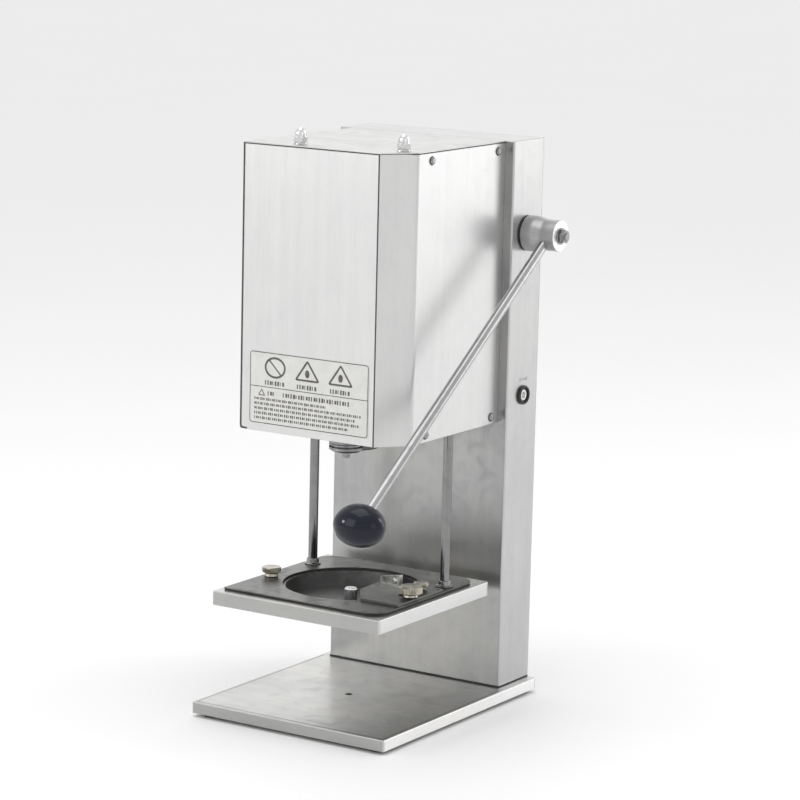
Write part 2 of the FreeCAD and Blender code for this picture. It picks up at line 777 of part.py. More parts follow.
def make_bearing_frame():
    """The bearing plate on the column, the pillars and the motor plate above it."""
    bearing_bore = cell("bearing_bore", 23.55, "bearing housing's bore")
    housing_radius = cell("housing_radius", 32, "bearing housing's outside")
    housing_height = cell("housing_height", 40, "bearing housing above its plate")
    bush_radius = cell("bush_radius", 7, "guide bush's outside")
    plate_half = cell("plate_half", 92, "bearing plate's edge from the middle plane")
    plate_front = cell("plate_front", -84, "bearing plate's front edge")
    lug_x = cell("lug_x", 52, "column lugs from the middle plane")
    lug_half = cell("lug_half", 22, "half width of a column lug")
    lug_deep = cell("lug_deep", 9.9, "column lug's thickness")
    lug_tall = cell("lug_tall", 24, "column lug above the bearing plate")
    spindle_hole = cell("spindle_hole", 13.5, "bearing plate's hole for the spindle")
    housing_foot = cell("housing_foot", 38, "bearing housing's foot radius")
    foot_tall = cell("housing_foot_height", 6, "bearing housing's foot above its plate")
    plate = slab(
        "bearing_plate_blank",
        rectangle((-plate_half, plate_half), (plate_front, head_back)),
        plate_bottom,
        plate_top,
    )
    lugs = [
        box(
            f"bearing_plate_lug_{side}",
            (side * lug_x - lug_half, side * lug_x + lug_half),
            (head_back - lug_deep, head_back),
            (plate_top - bore_past, plate_top + lug_tall),
        )
        for side in (-1, 1)
    ]
    bore = bore_through("spindle_clearance", spindle_hole, plate_bottom, plate_top, (0, axis_y))
    bush_bores = [
        bore_through(
            f"bush_bore_{side}",
            bush_radius + fit_gap,
            plate_bottom,
            plate_top,
            (side * rod_spread, rod_y),
        )
        for side in (-1, 1)
    ]
    housing = turned(
        "bearing_housing",
        [
            (bearing_bore, -bore_past),
            (housing_foot, -bore_past),
            (housing_foot, foot_tall),
            (housing_radius, foot_tall + 2),
            (housing_radius, housing_height),
            (bearing_bore, housing_height),
        ],
        (0, axis_y, plate_top),
    )
    drilled = cut("bearing_plate_drilled", plate, bore, *bush_bores)
    node(fuse("bearing_plate_solid", drilled, housing, *lugs), "bearing_plate")

    rod_bore = rod_radius + fit_gap
    flange = cell("bush_flange", 8.3, "guide bush's flange radius")
    flange_foot = cell("bush_length", 16.2, "guide bush below its flange")
    flange_top = flange_foot + 3
    bushes = [
        turned(
            f"guide_bush_{side + 1}",
            [
                (rod_bore, 0),
                (bush_radius, 0),
                (bush_radius, flange_foot),
                (flange, flange_foot),
                (flange, flange_top),
                (rod_bore, flange_top),
            ],
            (side * rod_spread, rod_y, plate_top - flange_foot),
        )
        for side in (-1, 1)
    ]
    node(group("guide_bushes_part", *bushes), "guide_bushes")

    pillar_radius = cell("pillar_radius", 6, "pillar's radius")
    pillar_spread = cell("pillar_spread", 78, "pillars from the middle plane")
    pillar_front = cell("pillar_front", -70, "front pillars, front to back")
    pillar_rear = cell("pillar_rear", -8, "rear pillars, front to back")
    pillars = [
        cylinder(f"pillar_{number}", pillar_radius, motor_plate_bottom - plate_top, (x, y, plate_top))
        for number, (x, y) in enumerate(corners(pillar_spread, (pillar_front, pillar_rear)))
    ]
    node(group("frame_pillars_part", *pillars), "frame_pillars")

    margin = cell("motor_plate_margin", 10, "motor plate's edge round the pillars' centres")
    pinion_gap = cell("pinion_hole", 17, "motor plate's hole round the pinion")
    post_radius = cell("board_post", 3, "circuit board post's radius")
    thickness = (motor_plate_bottom, motor_plate_top)
    blank = slab(
        "motor_plate_blank",
        rectangle(
            (-pillar_spread - margin, pillar_spread + margin),
            (pillar_front - margin, pillar_rear + margin),
        ),
        *thickness,
    )
    shaft_hole = bore_through("centre_shaft_hole", centre_shaft + fit_gap, *thickness, (0, axis_y))
    pinion_hole = bore_through("pinion_hole", pinion_gap, *thickness, (motor_x(), axis_y))
    posts = [
        cylinder(f"board_post_{row}_{side}", post_radius, board_rise + 1, (x, y, motor_plate_top - 1))
        for row, y in enumerate((board_front + post_inset, board_back - post_inset))
        for side, x in enumerate((board_left + post_inset, board_right - post_inset))
    ]
    drilled = cut("motor_plate_drilled", blank, shaft_hole, pinion_hole)
    node(fuse("motor_plate_part", drilled, *posts), "motor_plate")

    race_out = bearing_bore - fit_gap
    race_in = cell("bearing_inside", 12.55, "ball bearing's bore")
    race_wide = cell("bearing_width", 12, "ball bearing's width")
    race_wall = cell("bearing_race", 3.5, "ball bearing's races, thickness")
    shield_in = cell("bearing_shield", 0.8, "ball bearing's shield below its face")
    first_bearing = cell("first_bearing", 2, "lower ball bearing above the bearing plate")
    second_bearing = cell("second_bearing", 26, "upper ball bearing above the bearing plate")
    bearings = [
        turned(
            f"ball_bearing_{number}",
            [
                (race_in, 0),
                (race_out, 0),
                (race_out, race_wide),
                (race_out - race_wall, race_wide),
                (race_out - race_wall, race_wide - shield_in),
                (race_in + race_wall, race_wide - shield_in),
                (race_in + race_wall, race_wide),
                (race_in, race_wide),
            ],
            (0, axis_y, plate_top + height),
        )
        for number, height in enumerate((first_bearing, second_bearing))
    ]
    node(group("ball_bearings_part", *bearings), "ball_bearings")


def motor_x():
    """The motor's axis: the two drive gears' pitch radii to the left of the seaming axis."""
    return -(drive_module * (spindle_teeth + pinion_teeth) / 2)


def make_chuck():
    """The fixed centre shaft with the chuck and its bolt at the lower end."""
    chuck_height = cell("chuck_height", 14, "seaming chuck's height")
    rim_height = cell("chuck_rim", 5, "seaming chuck's rim, height")
    rim_step = cell("chuck_step", 2, "seaming chuck's rim beyond its body")
    neck = cell("chuck_neck", 15, "seaming chuck's neck radius")
    thread = cell("chuck_bolt_radius", 3, "chuck bolt's radius")
    shaft_foot = chuck_bottom + chuck_height
    nut_height = cell("shaft_nut_height", 10, "centre shaft nut's height")
    nut_across = cell("shaft_nut_across", 19, "centre shaft nut, across flats")
    length = motor_plate_top + nut_height + centre_shaft - shaft_foot
    shaft = cylinder("centre_shaft_bar", centre_shaft, length, (0, axis_y, shaft_foot))
    nut = prism("centre_shaft_nut", nut_across, nut_height, (0, axis_y, motor_plate_top))
    node(fuse("centre_shaft_part", shaft, nut), "centre_shaft")
    chuck = turned(
        "chuck_blank",
        [
            (thread + clear_gap, 0),
            (chuck_radius - 1, 0),
            (chuck_radius, 1),
            (chuck_radius, rim_height),
            (chuck_radius - rim_step, rim_height + 1.5),
            (chuck_radius - rim_step, chuck_height - 3),
            (neck, chuck_height),
            (thread + clear_gap, chuck_height),
        ],
        (0, axis_y, chuck_bottom),
    )
    node(chuck, "seaming_chuck")
    washer_gauge = cell("chuck_washer_gauge", 1.2, "chuck bolt's washer, thickness")
    washer_radius = cell("chuck_washer", 6, "chuck bolt's washer, radius")
    head_height = cell("bolt_head_height", 6, "chuck bolt's head, height")
    head_across = cell("bolt_head_across", 8, "chuck bolt's head, across flats")
    head_foot = chuck_bottom - washer_gauge - head_height
    bolt_head = prism("chuck_bolt_head", head_across, head_height, (0, axis_y, head_foot))
    washer_foot = (0, axis_y, chuck_bottom - washer_gauge)
    washer = cylinder("chuck_bolt_washer", washer_radius, washer_gauge, washer_foot)
    shank_bottom = chuck_bottom - washer_gauge / 2
    shank_top = shaft_foot - clear_gap
    shank = cylinder("chuck_bolt_shank", thread, shank_top - shank_bottom, (0, axis_y, shank_bottom))
    node(fuse("chuck_bolt_part", bolt_head, washer, shank), "chuck_bolt")


def on_carrier(across, along):
    """A point on the carrier, which rests turned about the seaming axis."""
    turn = math.radians(rest_turn.value)
    across, along = as_size(across), as_size(along)
    return (
        across * math.cos(turn) - along * math.sin(turn),
        axis_y + across * math.sin(turn) + along * math.cos(turn),
    )


def make_roller_drive():
    """The turning carrier with its two roller arms, its gear, the pinion and the motor."""
    sleeve = cell("sleeve_radius", 12.5, "carrier sleeve's outside")
    sleeve_bore = cell("sleeve_bore", 6.4, "carrier sleeve's bore, clear of the centre shaft")
    sleeve_height = cell("sleeve_height", 82, "carrier sleeve's height")
    pivot_radius = cell("pivot_radius", 4, "arm pivot's radius")
    pivot_head = cell("pivot_head", 6.5, "arm pivot's head, radius")
    pivot_head_gauge = cell("pivot_head_height", 2.2, "arm pivot's head, height")
    pivot_drop = cell("pivot_drop", 10.8, "arm pivot's head below the carrier")
    disc_gauge = cell("carrier_gauge", 8, "roller carrier's thickness")
    carrier = turned(
        "carrier_blank",
        [
            (sleeve_bore, 0),
            (carrier_radius - 1, 0),
            (carrier_radius, 1),
            (carrier_radius, disc_gauge),
            (sleeve, disc_gauge),
            (sleeve, sleeve_height),
            (sleeve_bore, sleeve_height),
        ],
        (0, axis_y, carrier_bottom),
    )
    pins = []
    for number, side in enumerate((1, -1)):
        pins.append(turned(
            f"pivot_pin_{number}",
            [
                (0, 0),
                (pivot_head, 0),
                (pivot_head, pivot_head_gauge),
                (pivot_radius, pivot_head_gauge),
                (pivot_radius, pivot_drop + 1.2),
                (0, pivot_drop + 1.2),
            ],
            (*on_carrier(arm_reach * side, arm_reach * side), carrier_bottom - pivot_drop),
        ))
        make_roller(number + 1, side, pivot_radius)
    node(fuse("roller_carrier_part", carrier, *pins), "roller_carrier")

    wheel_width = cell("spindle_gear_width", 12, "spindle gear's width")
    wheel_drop = cell("spindle_gear_drop", 18, "spindle gear's lower face below the motor plate")
    bore = sleeve.value + press_gap.value
    wheel = drive_gear("spindle_gear_part", spindle_teeth, wheel_width.value, bore, 0)
    place(wheel, 0, axis_y, motor_plate_bottom - wheel_drop)
    node(wheel, "spindle_gear")

    shaft = cell("motor_shaft_radius", 4, "motor shaft's radius")
    shaft_drop = cell("motor_shaft_drop", 22, "motor shaft's end below the motor plate")
    shaft_rise = cell("motor_shaft_rise", 12, "motor shaft's end above the motor plate")
    pinion_width = cell("pinion_width", 16, "motor pinion's width")
    length = shaft_drop + motor_plate_gauge + shaft_rise
    foot = motor_plate_bottom - shaft_drop
    bar = cylinder("motor_shaft", shaft, length, (motor_x(), axis_y, foot))
    half_pitch = 180 / pinion_teeth.value
    pinion_bore = shaft.value - 0.1
    pinion = drive_gear("pinion_teeth_ring", pinion_teeth, pinion_width.value, pinion_bore, half_pitch)
    place(pinion, motor_x(), axis_y, foot + 2)
    node(fuse("motor_pinion_part", bar, pinion), "motor_pinion")
    box_radius = cell("gearbox_radius", 28, "gearbox's radius")
    box_height = cell("gearbox_height", 28, "gearbox's height")
    gearbox = turned(
        "gearbox_blank",
        [
            (shaft + fit_gap, 0),
            (box_radius, 0),
            (box_radius, box_height),
            (0, box_height),
            (0, box_height / 2),
            (shaft + fit_gap, box_height / 2),
        ],
        (motor_x(), axis_y, motor_plate_top),
    )
    motor_radius = cell("motor_radius", 30, "drive motor's radius")
    motor_height = cell("motor_height", 77, "drive motor's height")
    cap_radius = cell("motor_cap", 10, "drive motor's rear boss, radius")
    cap_height = cell("motor_cap_height", 6, "drive motor's rear boss, height")
    motor = turned(
        "motor_blank",
        [
            (0, 0),
            (motor_radius, 0),
            (motor_radius, motor_height - 2),
            (motor_radius - 4, motor_height),
            (cap_radius, motor_height),
            (cap_radius, motor_height + cap_height),
            (0, motor_height + cap_height),
        ],
        (motor_x(), axis_y, motor_plate_top + box_height - 1),
    )
    node(fuse("drive_motor_part", gearbox, motor), "drive_motor")


def make_roller(number, side, pivot_radius):
    """One seaming roller on its swinging arm; the second is the first turned half a turn."""
    pivot = on_carrier(arm_reach * side, arm_reach * side)
    pin = on_carrier(roller_reach * side, 0)
    arm_bottom = carrier_bottom - arm_drop
    roller_foot = arm_bottom - roller_height - 1.6
    cap_foot = roller_foot - 2.5
    run = (side * (roller_reach.value - arm_reach.value), -side * arm_reach.value)
    angle = math.atan2(run[1], run[0]) + math.radians(rest_turn.value)
    bar = doc.addObject("Part::Box", f"arm_bar_{number}")
    bind(bar, "Length", math.hypot(*run))
    bind(bar, "Width", 2 * arm_boss)
    bind(bar, "Height", arm_gauge)
    bar.Placement.Rotation = FreeCAD.Rotation(Vector(0, 0, 1), math.degrees(angle))
    place(bar, pivot[0] + arm_boss * math.sin(angle), pivot[1] - arm_boss * math.cos(angle), arm_bottom)
    pivot_boss = cylinder(f"arm_pivot_boss_{number}", arm_boss, arm_gauge, (*pivot, arm_bottom))
    pin_boss = cylinder(f"arm_pin_boss_{number}", arm_boss, arm_gauge, (*pin, arm_bottom))
    pin_bar = cylinder(f"arm_roller_pin_{number}", pivot_radius, arm_bottom + 2 - cap_foot, (*pin, cap_foot))
    cap = cylinder(f"arm_pin_cap_{number}", pin_cap, pin_cap_gauge, (*pin, cap_foot))
    nut_foot = (*pin, cap_foot + 0.1 - pin_nut_height)
    nut = prism(f"arm_pin_nut_{number}", pin_nut_across, pin_nut_height, nut_foot)
    solid = fuse(f"arm_solid_{number}", bar, pivot_boss, pin_boss, pin_bar, cap, nut)
    hole = bore_through(
        f"arm_pivot_hole_{number}",
        pivot_radius + fit_gap,
        arm_bottom,
        arm_bottom + arm_gauge,
        pivot,
    )
    node(cut(f"arm_part_{number}", solid, hole), f"roller_arm_{number}")
    bore = pivot_radius + fit_gap
    roller = turned(
        f"roller_blank_{number}",
        [
            (bore, 0),
            (roller_radius - 3, 0),
            (roller_radius, 2),
            (roller_radius, groove_low - 1.4),
            (roller_radius - groove_deep, groove_low),
            (roller_radius - groove_deep, groove_high),
            (roller_radius, groove_high + 1.4),
            (roller_radius, roller_height - 2.4),
            (roller_radius - 6, roller_height),
            (bore, roller_height),
        ],
        (*pin, roller_foot),
    )
    node(roller, f"seaming_roller_{number}")


def make_electrics():
    board_z = motor_plate_top + board_rise
    board_gauge = cell("board_gauge", 1.6, "circuit board's thickness")
    relay_wide = cell("relay_wide", 14, "relay, side to side")
    relay_deep = cell("relay_deep", 16, "relay, front to back")
    relay_tall = cell("relay_tall", 16, "relay's top above the board's lower face")
    relay_step = cell("relay_step", 20, "from one relay to the next")
    capacitor_radius = cell("capacitor_radius", 5, "capacitor's radius")
    capacitor_tall = cell("capacitor_tall", 18, "capacitor's height")
    capacitor_step = cell("capacitor_step", 14, "from one capacitor to the next")
    board = box(
        "circuit_board",
        (board_left, board_right),
        (board_front, board_back),
        (board_z, board_z + board_gauge),
    )
    sink = board_gauge / 2
    relay_front = board_front + 10
    parts = []
    for number in range(2):
        relay_left = board_left + 8 + relay_step * number
        parts.append(box(
            f"relay_{number}",
            (relay_left, relay_left + relay_wide),
            (relay_front, relay_front + relay_deep),
            (board_z + sink, board_z + relay_tall),
        ))
    for number in range(3):
        spot = (board_left + 12 + capacitor_step * number, board_back - 18, board_z + sink)
        parts.append(cylinder(f"capacitor_{number}", capacitor_radius, capacitor_tall, spot))
    node(fuse("control_board_part", board, *parts), "control_board")
    sensor_x = cell("sensor_x", 54, "travel sensor, side to side")
    sensor_half = cell("sensor_half", 8, "travel sensor's half width")
    sensor_front = cell("sensor_front", 29, "travel sensor's front")
    sensor_tall = cell("sensor_tall", 20, "travel sensor's height")
    eye_radius = cell("sensor_eye", 4, "travel sensor's eye, radius")
    block = box(
        "sensor_block",
        (sensor_x - sensor_half, sensor_x + sensor_half),
        (sensor_front, sensor_front + 2 * sensor_half),
        (plate_top, plate_top + sensor_tall),
    )
    eye_place = (sensor_x, sensor_front + 1, plate_top + sensor_tall - sensor_half + 2)
    eye = cylinder("sensor_eye_bar", eye_radius, 3, eye_place, "-Y")
    node(fuse("travel_sensor_part", block, eye), "travel_sensor")

    wall = column_width / 2
    barrel = cell("inlet_barrel", 4.2, "radius of the hole that takes the plug")
    pin_radius = cell("inlet_pin_radius", 1.3, "inlet's centre pin")
    ring_proud = cell("inlet_proud", 3.4, "inlet ring in front of the column's wall")
    bevel = cell("inlet_bevel", 0.8, "inlet ring's bevel")
    socket_length = cell("inlet_length", 18, "inlet socket's length")
    socket_wall = cell("inlet_wall", 5, "inlet socket's inner wall")
    socket_in = cell("inlet_in", 13.5, "inlet socket's inner end behind the column's wall")
    ring = turned(
        "inlet_ring_blank",
        [
            (inlet_bore, 0),
            (inlet_radius, 0),
            (inlet_radius, ring_proud - bevel),
            (inlet_radius - bevel, ring_proud),
            (inlet_bore, ring_proud),
        ],
        (wall, shaft_y, inlet_z),
        "+X",
    )
    node(ring, "inlet_ring")
    body_radius = inlet_bore - 2 * fit_gap
    socket = turned(
        "inlet_socket_blank",
        [
            (0, 0),
            (body_radius, 0),
            (body_radius, socket_length),
            (barrel, socket_length),
            (barrel, socket_wall),
            (0, socket_wall),
        ],
        (wall - socket_in, shaft_y, inlet_z),
        "+X",
    )
    pin_start = socket_wall - bore_past
    pin_length = socket_length - pin_start - 2.5
    pin_foot = (wall - socket_in + pin_start, shaft_y, inlet_z)
    pin = cylinder("inlet_pin", pin_radius, pin_length, pin_foot, "+X")
    node(fuse("inlet_socket_part", socket, pin), "inlet_socket")


# ---------------------------------------------------------------- lever and sector gear

def lever_point(distance):
    """A point on the lever rod's axis, this far from the shaft's axis."""
    down = math.radians(sheet.get("lever_tilt"))
    return (
        lever_x,
        shaft_y - as_size(distance) * math.cos(down),
        shaft_z - as_size(distance) * math.sin(down),
    )


def lever_bar(name, radius, start, end):
    """A round bar along the lever rod's axis."""
    item = doc.addObject("Part::Cylinder", name)
    bind(item, "Radius", radius)
    bind(item, "Height", as_size(end) - start)
    down = math.radians(sheet.get("lever_tilt"))
    item.Placement.Rotation = FreeCAD.Rotation(Vector(0, 0, 1), Vector(0, -math.cos(down), -math.sin(down)))
    place(item, *lever_point(start))
    return item


def make_lever_shaft():
    wall = column_width / 2
    collar_radius = cell("shaft_collar", 15, "shaft collar's radius")
    collar_width = cell("shaft_collar_width", 6.5, "shaft collar's width")
    hub_stud = cell("hub_stud", 4, "lever shaft's threaded end, radius")
    stud_length = cell("hub_stud_length", 12, "lever shaft's threaded end, length")
    left_end = 0 - wall - collar_width + 0.5
    bar_end = hub_end - end_wall - 0.1
    bar = cylinder("lever_shaft_bar", shaft_radius, bar_end - left_end, (left_end, shaft_y, shaft_z), "+X")
    stud_foot = bar_end - bore_past
    stud = cylinder("lever_shaft_stud", hub_stud, stud_length, (stud_foot, shaft_y, shaft_z), "+X")
    collar = turned(
        "shaft_collar",
        [
            (0, 0),
            (collar_radius, 0),
            (collar_radius, collar_width - 1),
            (collar_radius - 1, collar_width),
            (0, collar_width),
        ],
        (-wall - side_play, shaft_y, shaft_z),
        "-X",
    )
    node(fuse("lever_shaft_part", bar, stud, collar), "lever_shaft")

    bore = shaft_radius + fit_gap
    flange = cell("shaft_bush_flange", 17, "shaft bush's flange radius")
    flange_gauge = cell("shaft_bush_flange_gauge", 3, "shaft bush's flange thickness")
    length = flange_gauge + base_gauge
    bushes = [
        turned(
            f"shaft_bush_{side + 1}",
            [
                (bore, 0),
                (flange, 0),
                (flange, flange_gauge),
                (shaft_bush, flange_gauge),
                (shaft_bush, length),
                (bore, length),
            ],
            (side * (wall - length), shaft_y, shaft_z),
            "+X" if side > 0 else "-X",
        )
        for side in (-1, 1)
    ]
    node(group("shaft_bushes_part", *bushes), "shaft_bushes")


def make_lever():
    wall = column_width / 2
    seal_gauge = cell("seal_gauge", 1.2, "black ring behind the lever hub")
    seal = turned(
        "hub_seal_blank",
        [
            (shaft_bush + clear_gap, 0),
            (hub_radius - 2 * clear_gap, 0),
            (hub_radius - 2 * clear_gap, seal_gauge),
            (shaft_bush + clear_gap, seal_gauge),
        ],
        (wall, shaft_y, shaft_z),
        "+X",
    )
    node(seal, "hub_seal")

    start = wall + seal_gauge + side_play
    length = hub_end - start
    bore = shaft_radius + 0.02
    end_hole = cell("hub_stud_hole", 4.05, "hole for the shaft's threaded end")
    rim = cell("hub_rim", 0.8, "lever hub's bevel next to the column")
    drum = cell("hub_drum", 12, "lever hub's wide part, length")
    taper_end = cell("hub_taper_end", 21, "lever hub's slim part starts here")
    socket_end = cell("lever_socket_end", 30, "lever rod's socket, end from the shaft's axis")
    hub = turned(
        "lever_hub_blank",
        [
            (bore, 0),
            (hub_radius - rim, 0),
            (hub_radius, rim),
            (hub_radius, drum),
            (hub_radius - rim, drum + 2.5),
            (hub_end_radius + side_play, taper_end - 2),
            (hub_end_radius, taper_end),
            (hub_end_radius, length - 1),
            (hub_end_radius - 1, length),
            (end_hole, length),
            (end_hole, length - end_wall),
            (bore, length - end_wall),
        ],
        (start, shaft_y, shaft_z),
        "+X",
    )
    socket = lever_bar("lever_socket", lever_radius + fit_gap, shaft_radius + 0.5, socket_end)
    node(cut("lever_hub_part", hub, socket), "lever_hub")
    rod_end = lever_reach - 4
    node(lever_bar("lever_rod_part", lever_radius, shaft_radius + 1, rod_end), "lever_rod")
    washer_gauge = cell("hub_washer_gauge", 1.2, "hub nut's washer, thickness")
    washer_radius = cell("hub_washer", 9, "hub nut's washer, radius")
    nut_across = cell("hub_nut_across", 13, "hub nut, across flats")
    nut_height = cell("hub_nut_height", 5.6, "hub nut's height")
    washer = cylinder("hub_washer_ring", washer_radius, washer_gauge, (hub_end, shaft_y, shaft_z), "+X")
    nut_foot = (hub_end + washer_gauge, shaft_y, shaft_z)
    nut = prism("hub_nut_body", nut_across, nut_height, nut_foot, "+X")
    hole_length = washer_gauge + nut_height + 2 * bore_past
    nut_hole = cylinder("hub_nut_hole", end_hole, hole_length, (hub_end - bore_past, shaft_y, shaft_z), "+X")
    node(cut("hub_nut_part", fuse("hub_nut_blank", washer, nut), nut_hole), "hub_nut")

    knob = doc.addObject("Part::Ellipsoid", "knob_blank")
    bind(knob, "Radius1", knob_round)
    bind(knob, "Radius2", knob_long)
    bind(knob, "Radius3", knob_round)
    place(knob, *lever_point(lever_reach))
    bore = lever_bar("knob_bore", lever_radius + fit_gap, rod_end - knob_long, rod_end + 0.5)
    node(cut("lever_knob_part", knob, bore), "lever_knob")


def make_sector():
    """Part of a gear on the lever shaft, long enough for the whole swing."""
    module = gear_module.value
    teeth = int(sector_teeth.value)
    width = gear_width.value
    step = 360.0 / teeth
    spare = spare_teeth.value * step
    first = 180 - spare
    last = 180 + lever_swing.value + spare
    blank = gear_face(module, teeth, gear_backlash.value).extrude(Vector(0, 0, width))
    reach = 1.5 * module * teeth / 2
    pieces = 8
    wedge_points = [Vector(0, 0, 0)]
    for number in range(pieces + 1):
        angle = math.radians(first + (last - first) * number / pieces)
        wedge_points.append(Vector(reach * math.cos(angle), reach * math.sin(angle), 0))
    wedge_points.append(Vector(0, 0, 0))
    wedge = Part.Face(Part.makePolygon(wedge_points)).extrude(Vector(0, 0, width))
    boss_radius = sector_boss.value
    boss_reach = sector_boss_reach.value
    boss = Part.makeCylinder(boss_radius, width + 2 * boss_reach, Vector(0, 0, -boss_reach))
    bore_foot = Vector(0, 0, -1.5 * boss_reach)
    bore = Part.makeCylinder(shaft_radius.value + 0.02, width + 3 * boss_reach, bore_foot)
    shape = blank.common(wedge).fuse(boss).cut(bore).removeSplitter()
    turn_to_x = FreeCAD.Placement(Vector(0, 0, 0), FreeCAD.Rotation(Vector(1, 1, 1), 120))
    shape.transformShape(turn_to_x.toMatrix())
    sector = doc.addObject("Part::Feature", "sector_gear_part")
    sector.Shape = shape
    place(sector, gear_width / -2, shaft_y, shaft_z)
    node(sector, "sector_gear")


def make_rack():
    """A rack that meshes with the sector in front of it and stands on the crosshead."""
    module = gear_module.value
    tooth = math.pi * module
    slope = math.tan(math.radians(20))
    half_tooth = tooth / 4 - gear_backlash.value / 2
    travel = module * sector_teeth.value / 2 * math.radians(lever_swing.value)
    low, high = -travel - 1.5 * tooth, 1.5 * tooth
    root, tip, back = -1.25 * module, 0.95 * module, -rack_back.value
    foot = crosshead_bottom.value - 2 - shaft_z.value
    top = high + rack_cap.value
    profile = [(back, top), (back, foot), (root, foot)]
    for number in range(math.ceil(low / tooth), math.floor(high / tooth)):
        middle = (number + 0.5) * tooth
        for depth, sign in ((root, -1), (tip, -1), (tip, 1), (root, 1)):
            profile.append((depth, middle + sign * (half_tooth - depth * slope)))
    profile.append((root, top))
    profile.append(profile[0])
    points = [Vector(0, across, up) for across, up in profile]
    rack = doc.addObject("Part::Feature", "rack_part")
    rack.Shape = Part.Face(Part.makePolygon(points)).extrude(Vector(gear_width.value, 0, 0))
    place(rack, gear_width / -2, shaft_y - gear_module * sector_teeth / 2, shaft_z)
    node(rack, "lift_rack")


# ---------------------------------------------------------------- lift and tray

def tray_holes(name, bottom, top, play):
    """The recess, rod and thumb screw holes through one of the tray's layers."""
    tools = [bore_through(name + "_recess", recess_radius, bottom, top, (0, axis_y))]
    for side in (-1, 1):
        spot = (side * rod_spread, rod_y)
        tools.append(bore_through(f"{name}_rod_{side}", rod_radius + play, bottom, top, spot))
    for screw, (x, y, *rest) in THUMB_SCREWS.items():
        tools.append(bore_through(f"{name}_{screw}", thumb_shank + play, bottom, top, (x, y)))
    return tools


def inset_outline(name, draw_in, bottom, top):
    """The inset plate's outline: three rounded corners and a square one at the front left."""
    half = inset_half - draw_in
    front = inset_front + draw_in
    sheet_body = slab(name, rectangle((-half, half), (front, inset_back - draw_in)), bottom, top)
    round_edges(sheet_body, inset_corner, lambda edge: upright(edge) and
                (edge.BoundBox.XMin > 0 or edge.BoundBox.YMin > 0))
    return sheet_body


def make_tray():
    half = tray_width / 2
    shell = slab("tray_bent", rectangle((-half, half), (tray_front, tray_back)), tray_bottom, tray_top)
    round_edges(shell, bend_radius, upright)
    round_edges(shell, soft_edge, at_height(tray_top))
    cavity = box(
        "tray_cavity",
        (base_gauge - half, half - base_gauge),
        (tray_front + base_gauge, tray_back - base_gauge),
        (tray_bottom - bore_past, deck_top),
    )
    rim_holes = tray_holes("rim", deck_top, tray_top, fit_gap)
    node(cut("tray_rim_part", shell, cavity, *rim_holes), "tray_rim")
    edge_gap = base_gauge + touch_gap
    deck = box(
        "deck_block",
        (edge_gap - half, half - edge_gap),
        (tray_front + edge_gap, tray_back - edge_gap),
        (deck_bottom, deck_top),
    )
    deck_holes = tray_holes("deck", deck_bottom, deck_top, fit_gap)
    node(cut("tray_deck_part", deck, *deck_holes), "tray_deck")
    draw_in = cell("gasket_draw_in", 0.5, "black sheet's edge inside the inset plate's")
    gasket = inset_outline("gasket_sheet", draw_in, tray_top, inset_bottom)
    gasket_holes = tray_holes("gasket", tray_top, inset_bottom, clear_gap)
    node(cut("tray_gasket_part", gasket, *gasket_holes), "tray_gasket")
    inset = inset_outline("inset_sheet", 0, inset_bottom, inset_top)
    inset_holes = tray_holes("inset", inset_bottom, inset_top, fit_gap)
    node(cut("inset_plate_part", inset, *inset_holes), "inset_plate")


def make_recess():
    """The dish below the round recess, the rubber pad on its wall and the grooved post."""
    outside = recess_radius - side_play
    inside = outside - dish_wall
    floor_gauge = cell("dish_floor", 3, "cup dish's floor")
    flange = cell("dish_flange", 7, "cup dish's flange under the deck")
    flange_gauge = cell("dish_flange_gauge", 3, "cup dish's flange, thickness")
    flange_top = deck_bottom - recess_floor + floor_gauge
    wall_top = tray_top - recess_floor + floor_gauge
    dish = turned(
        "cup_dish_blank",
        [
            (0, 0),
            (outside, 0),
            (outside, flange_top - flange_gauge),
            (outside + flange, flange_top - flange_gauge),
            (outside + flange, flange_top),
            (outside, flange_top),
            (outside, wall_top),
            (inside, wall_top),
            (inside, floor_gauge),
            (0, floor_gauge),
        ],
        (0, axis_y, recess_floor - floor_gauge),
    )
    node(dish, "cup_dish")

    pad_gauge = cell("pad_gauge", 2, "rubber pad's thickness")
    pad_start = cell("pad_start", 28, "rubber pad's first end, degrees round from the lever's side")
    pad_turn = cell("pad_turn", 54, "rubber pad's sweep, in degrees")
    pad_tall = inset_bottom - 0.5 - recess_floor
    rings = []
    for number, radius in enumerate((inside - fit_gap, inside - fit_gap - pad_gauge)):
        ring = cylinder(f"pad_ring_{number}", radius, pad_tall, (0, axis_y, recess_floor))
        bind(ring, "Angle", pad_turn)
        ring.Placement.Rotation = FreeCAD.Rotation(Vector(0, 0, 1), pad_start.value)
        rings.append(ring)
    node(cut("recess_pad_part", *rings), "recess_pad")

    post_radius = cell("post_radius", 6.7, "grooved post's radius")
    post_neck = cell("post_neck", 5.4, "grooved post's foot")
    post_tall = cell("post_tall", 24.4, "grooved post above the recess's floor")
    neck_tall = cell("post_neck_tall", 5, "grooved post's foot, height")
    post_x = cell("post_x", 20, "grooved post, side to side")
    post_y = cell("post_y", -66, "grooved post, front to back")
    post = turned(
        "cup_post_blank",
        [
            (0, 0),
            (post_neck, 0),
            (post_neck, neck_tall),
            (post_radius, neck_tall),
            (post_radius, post_tall - 1.2),
            (post_radius - 1, post_tall),
            (0, post_tall),
        ],
        (post_x, post_y, recess_floor),
    )
    node(post, "cup_post")


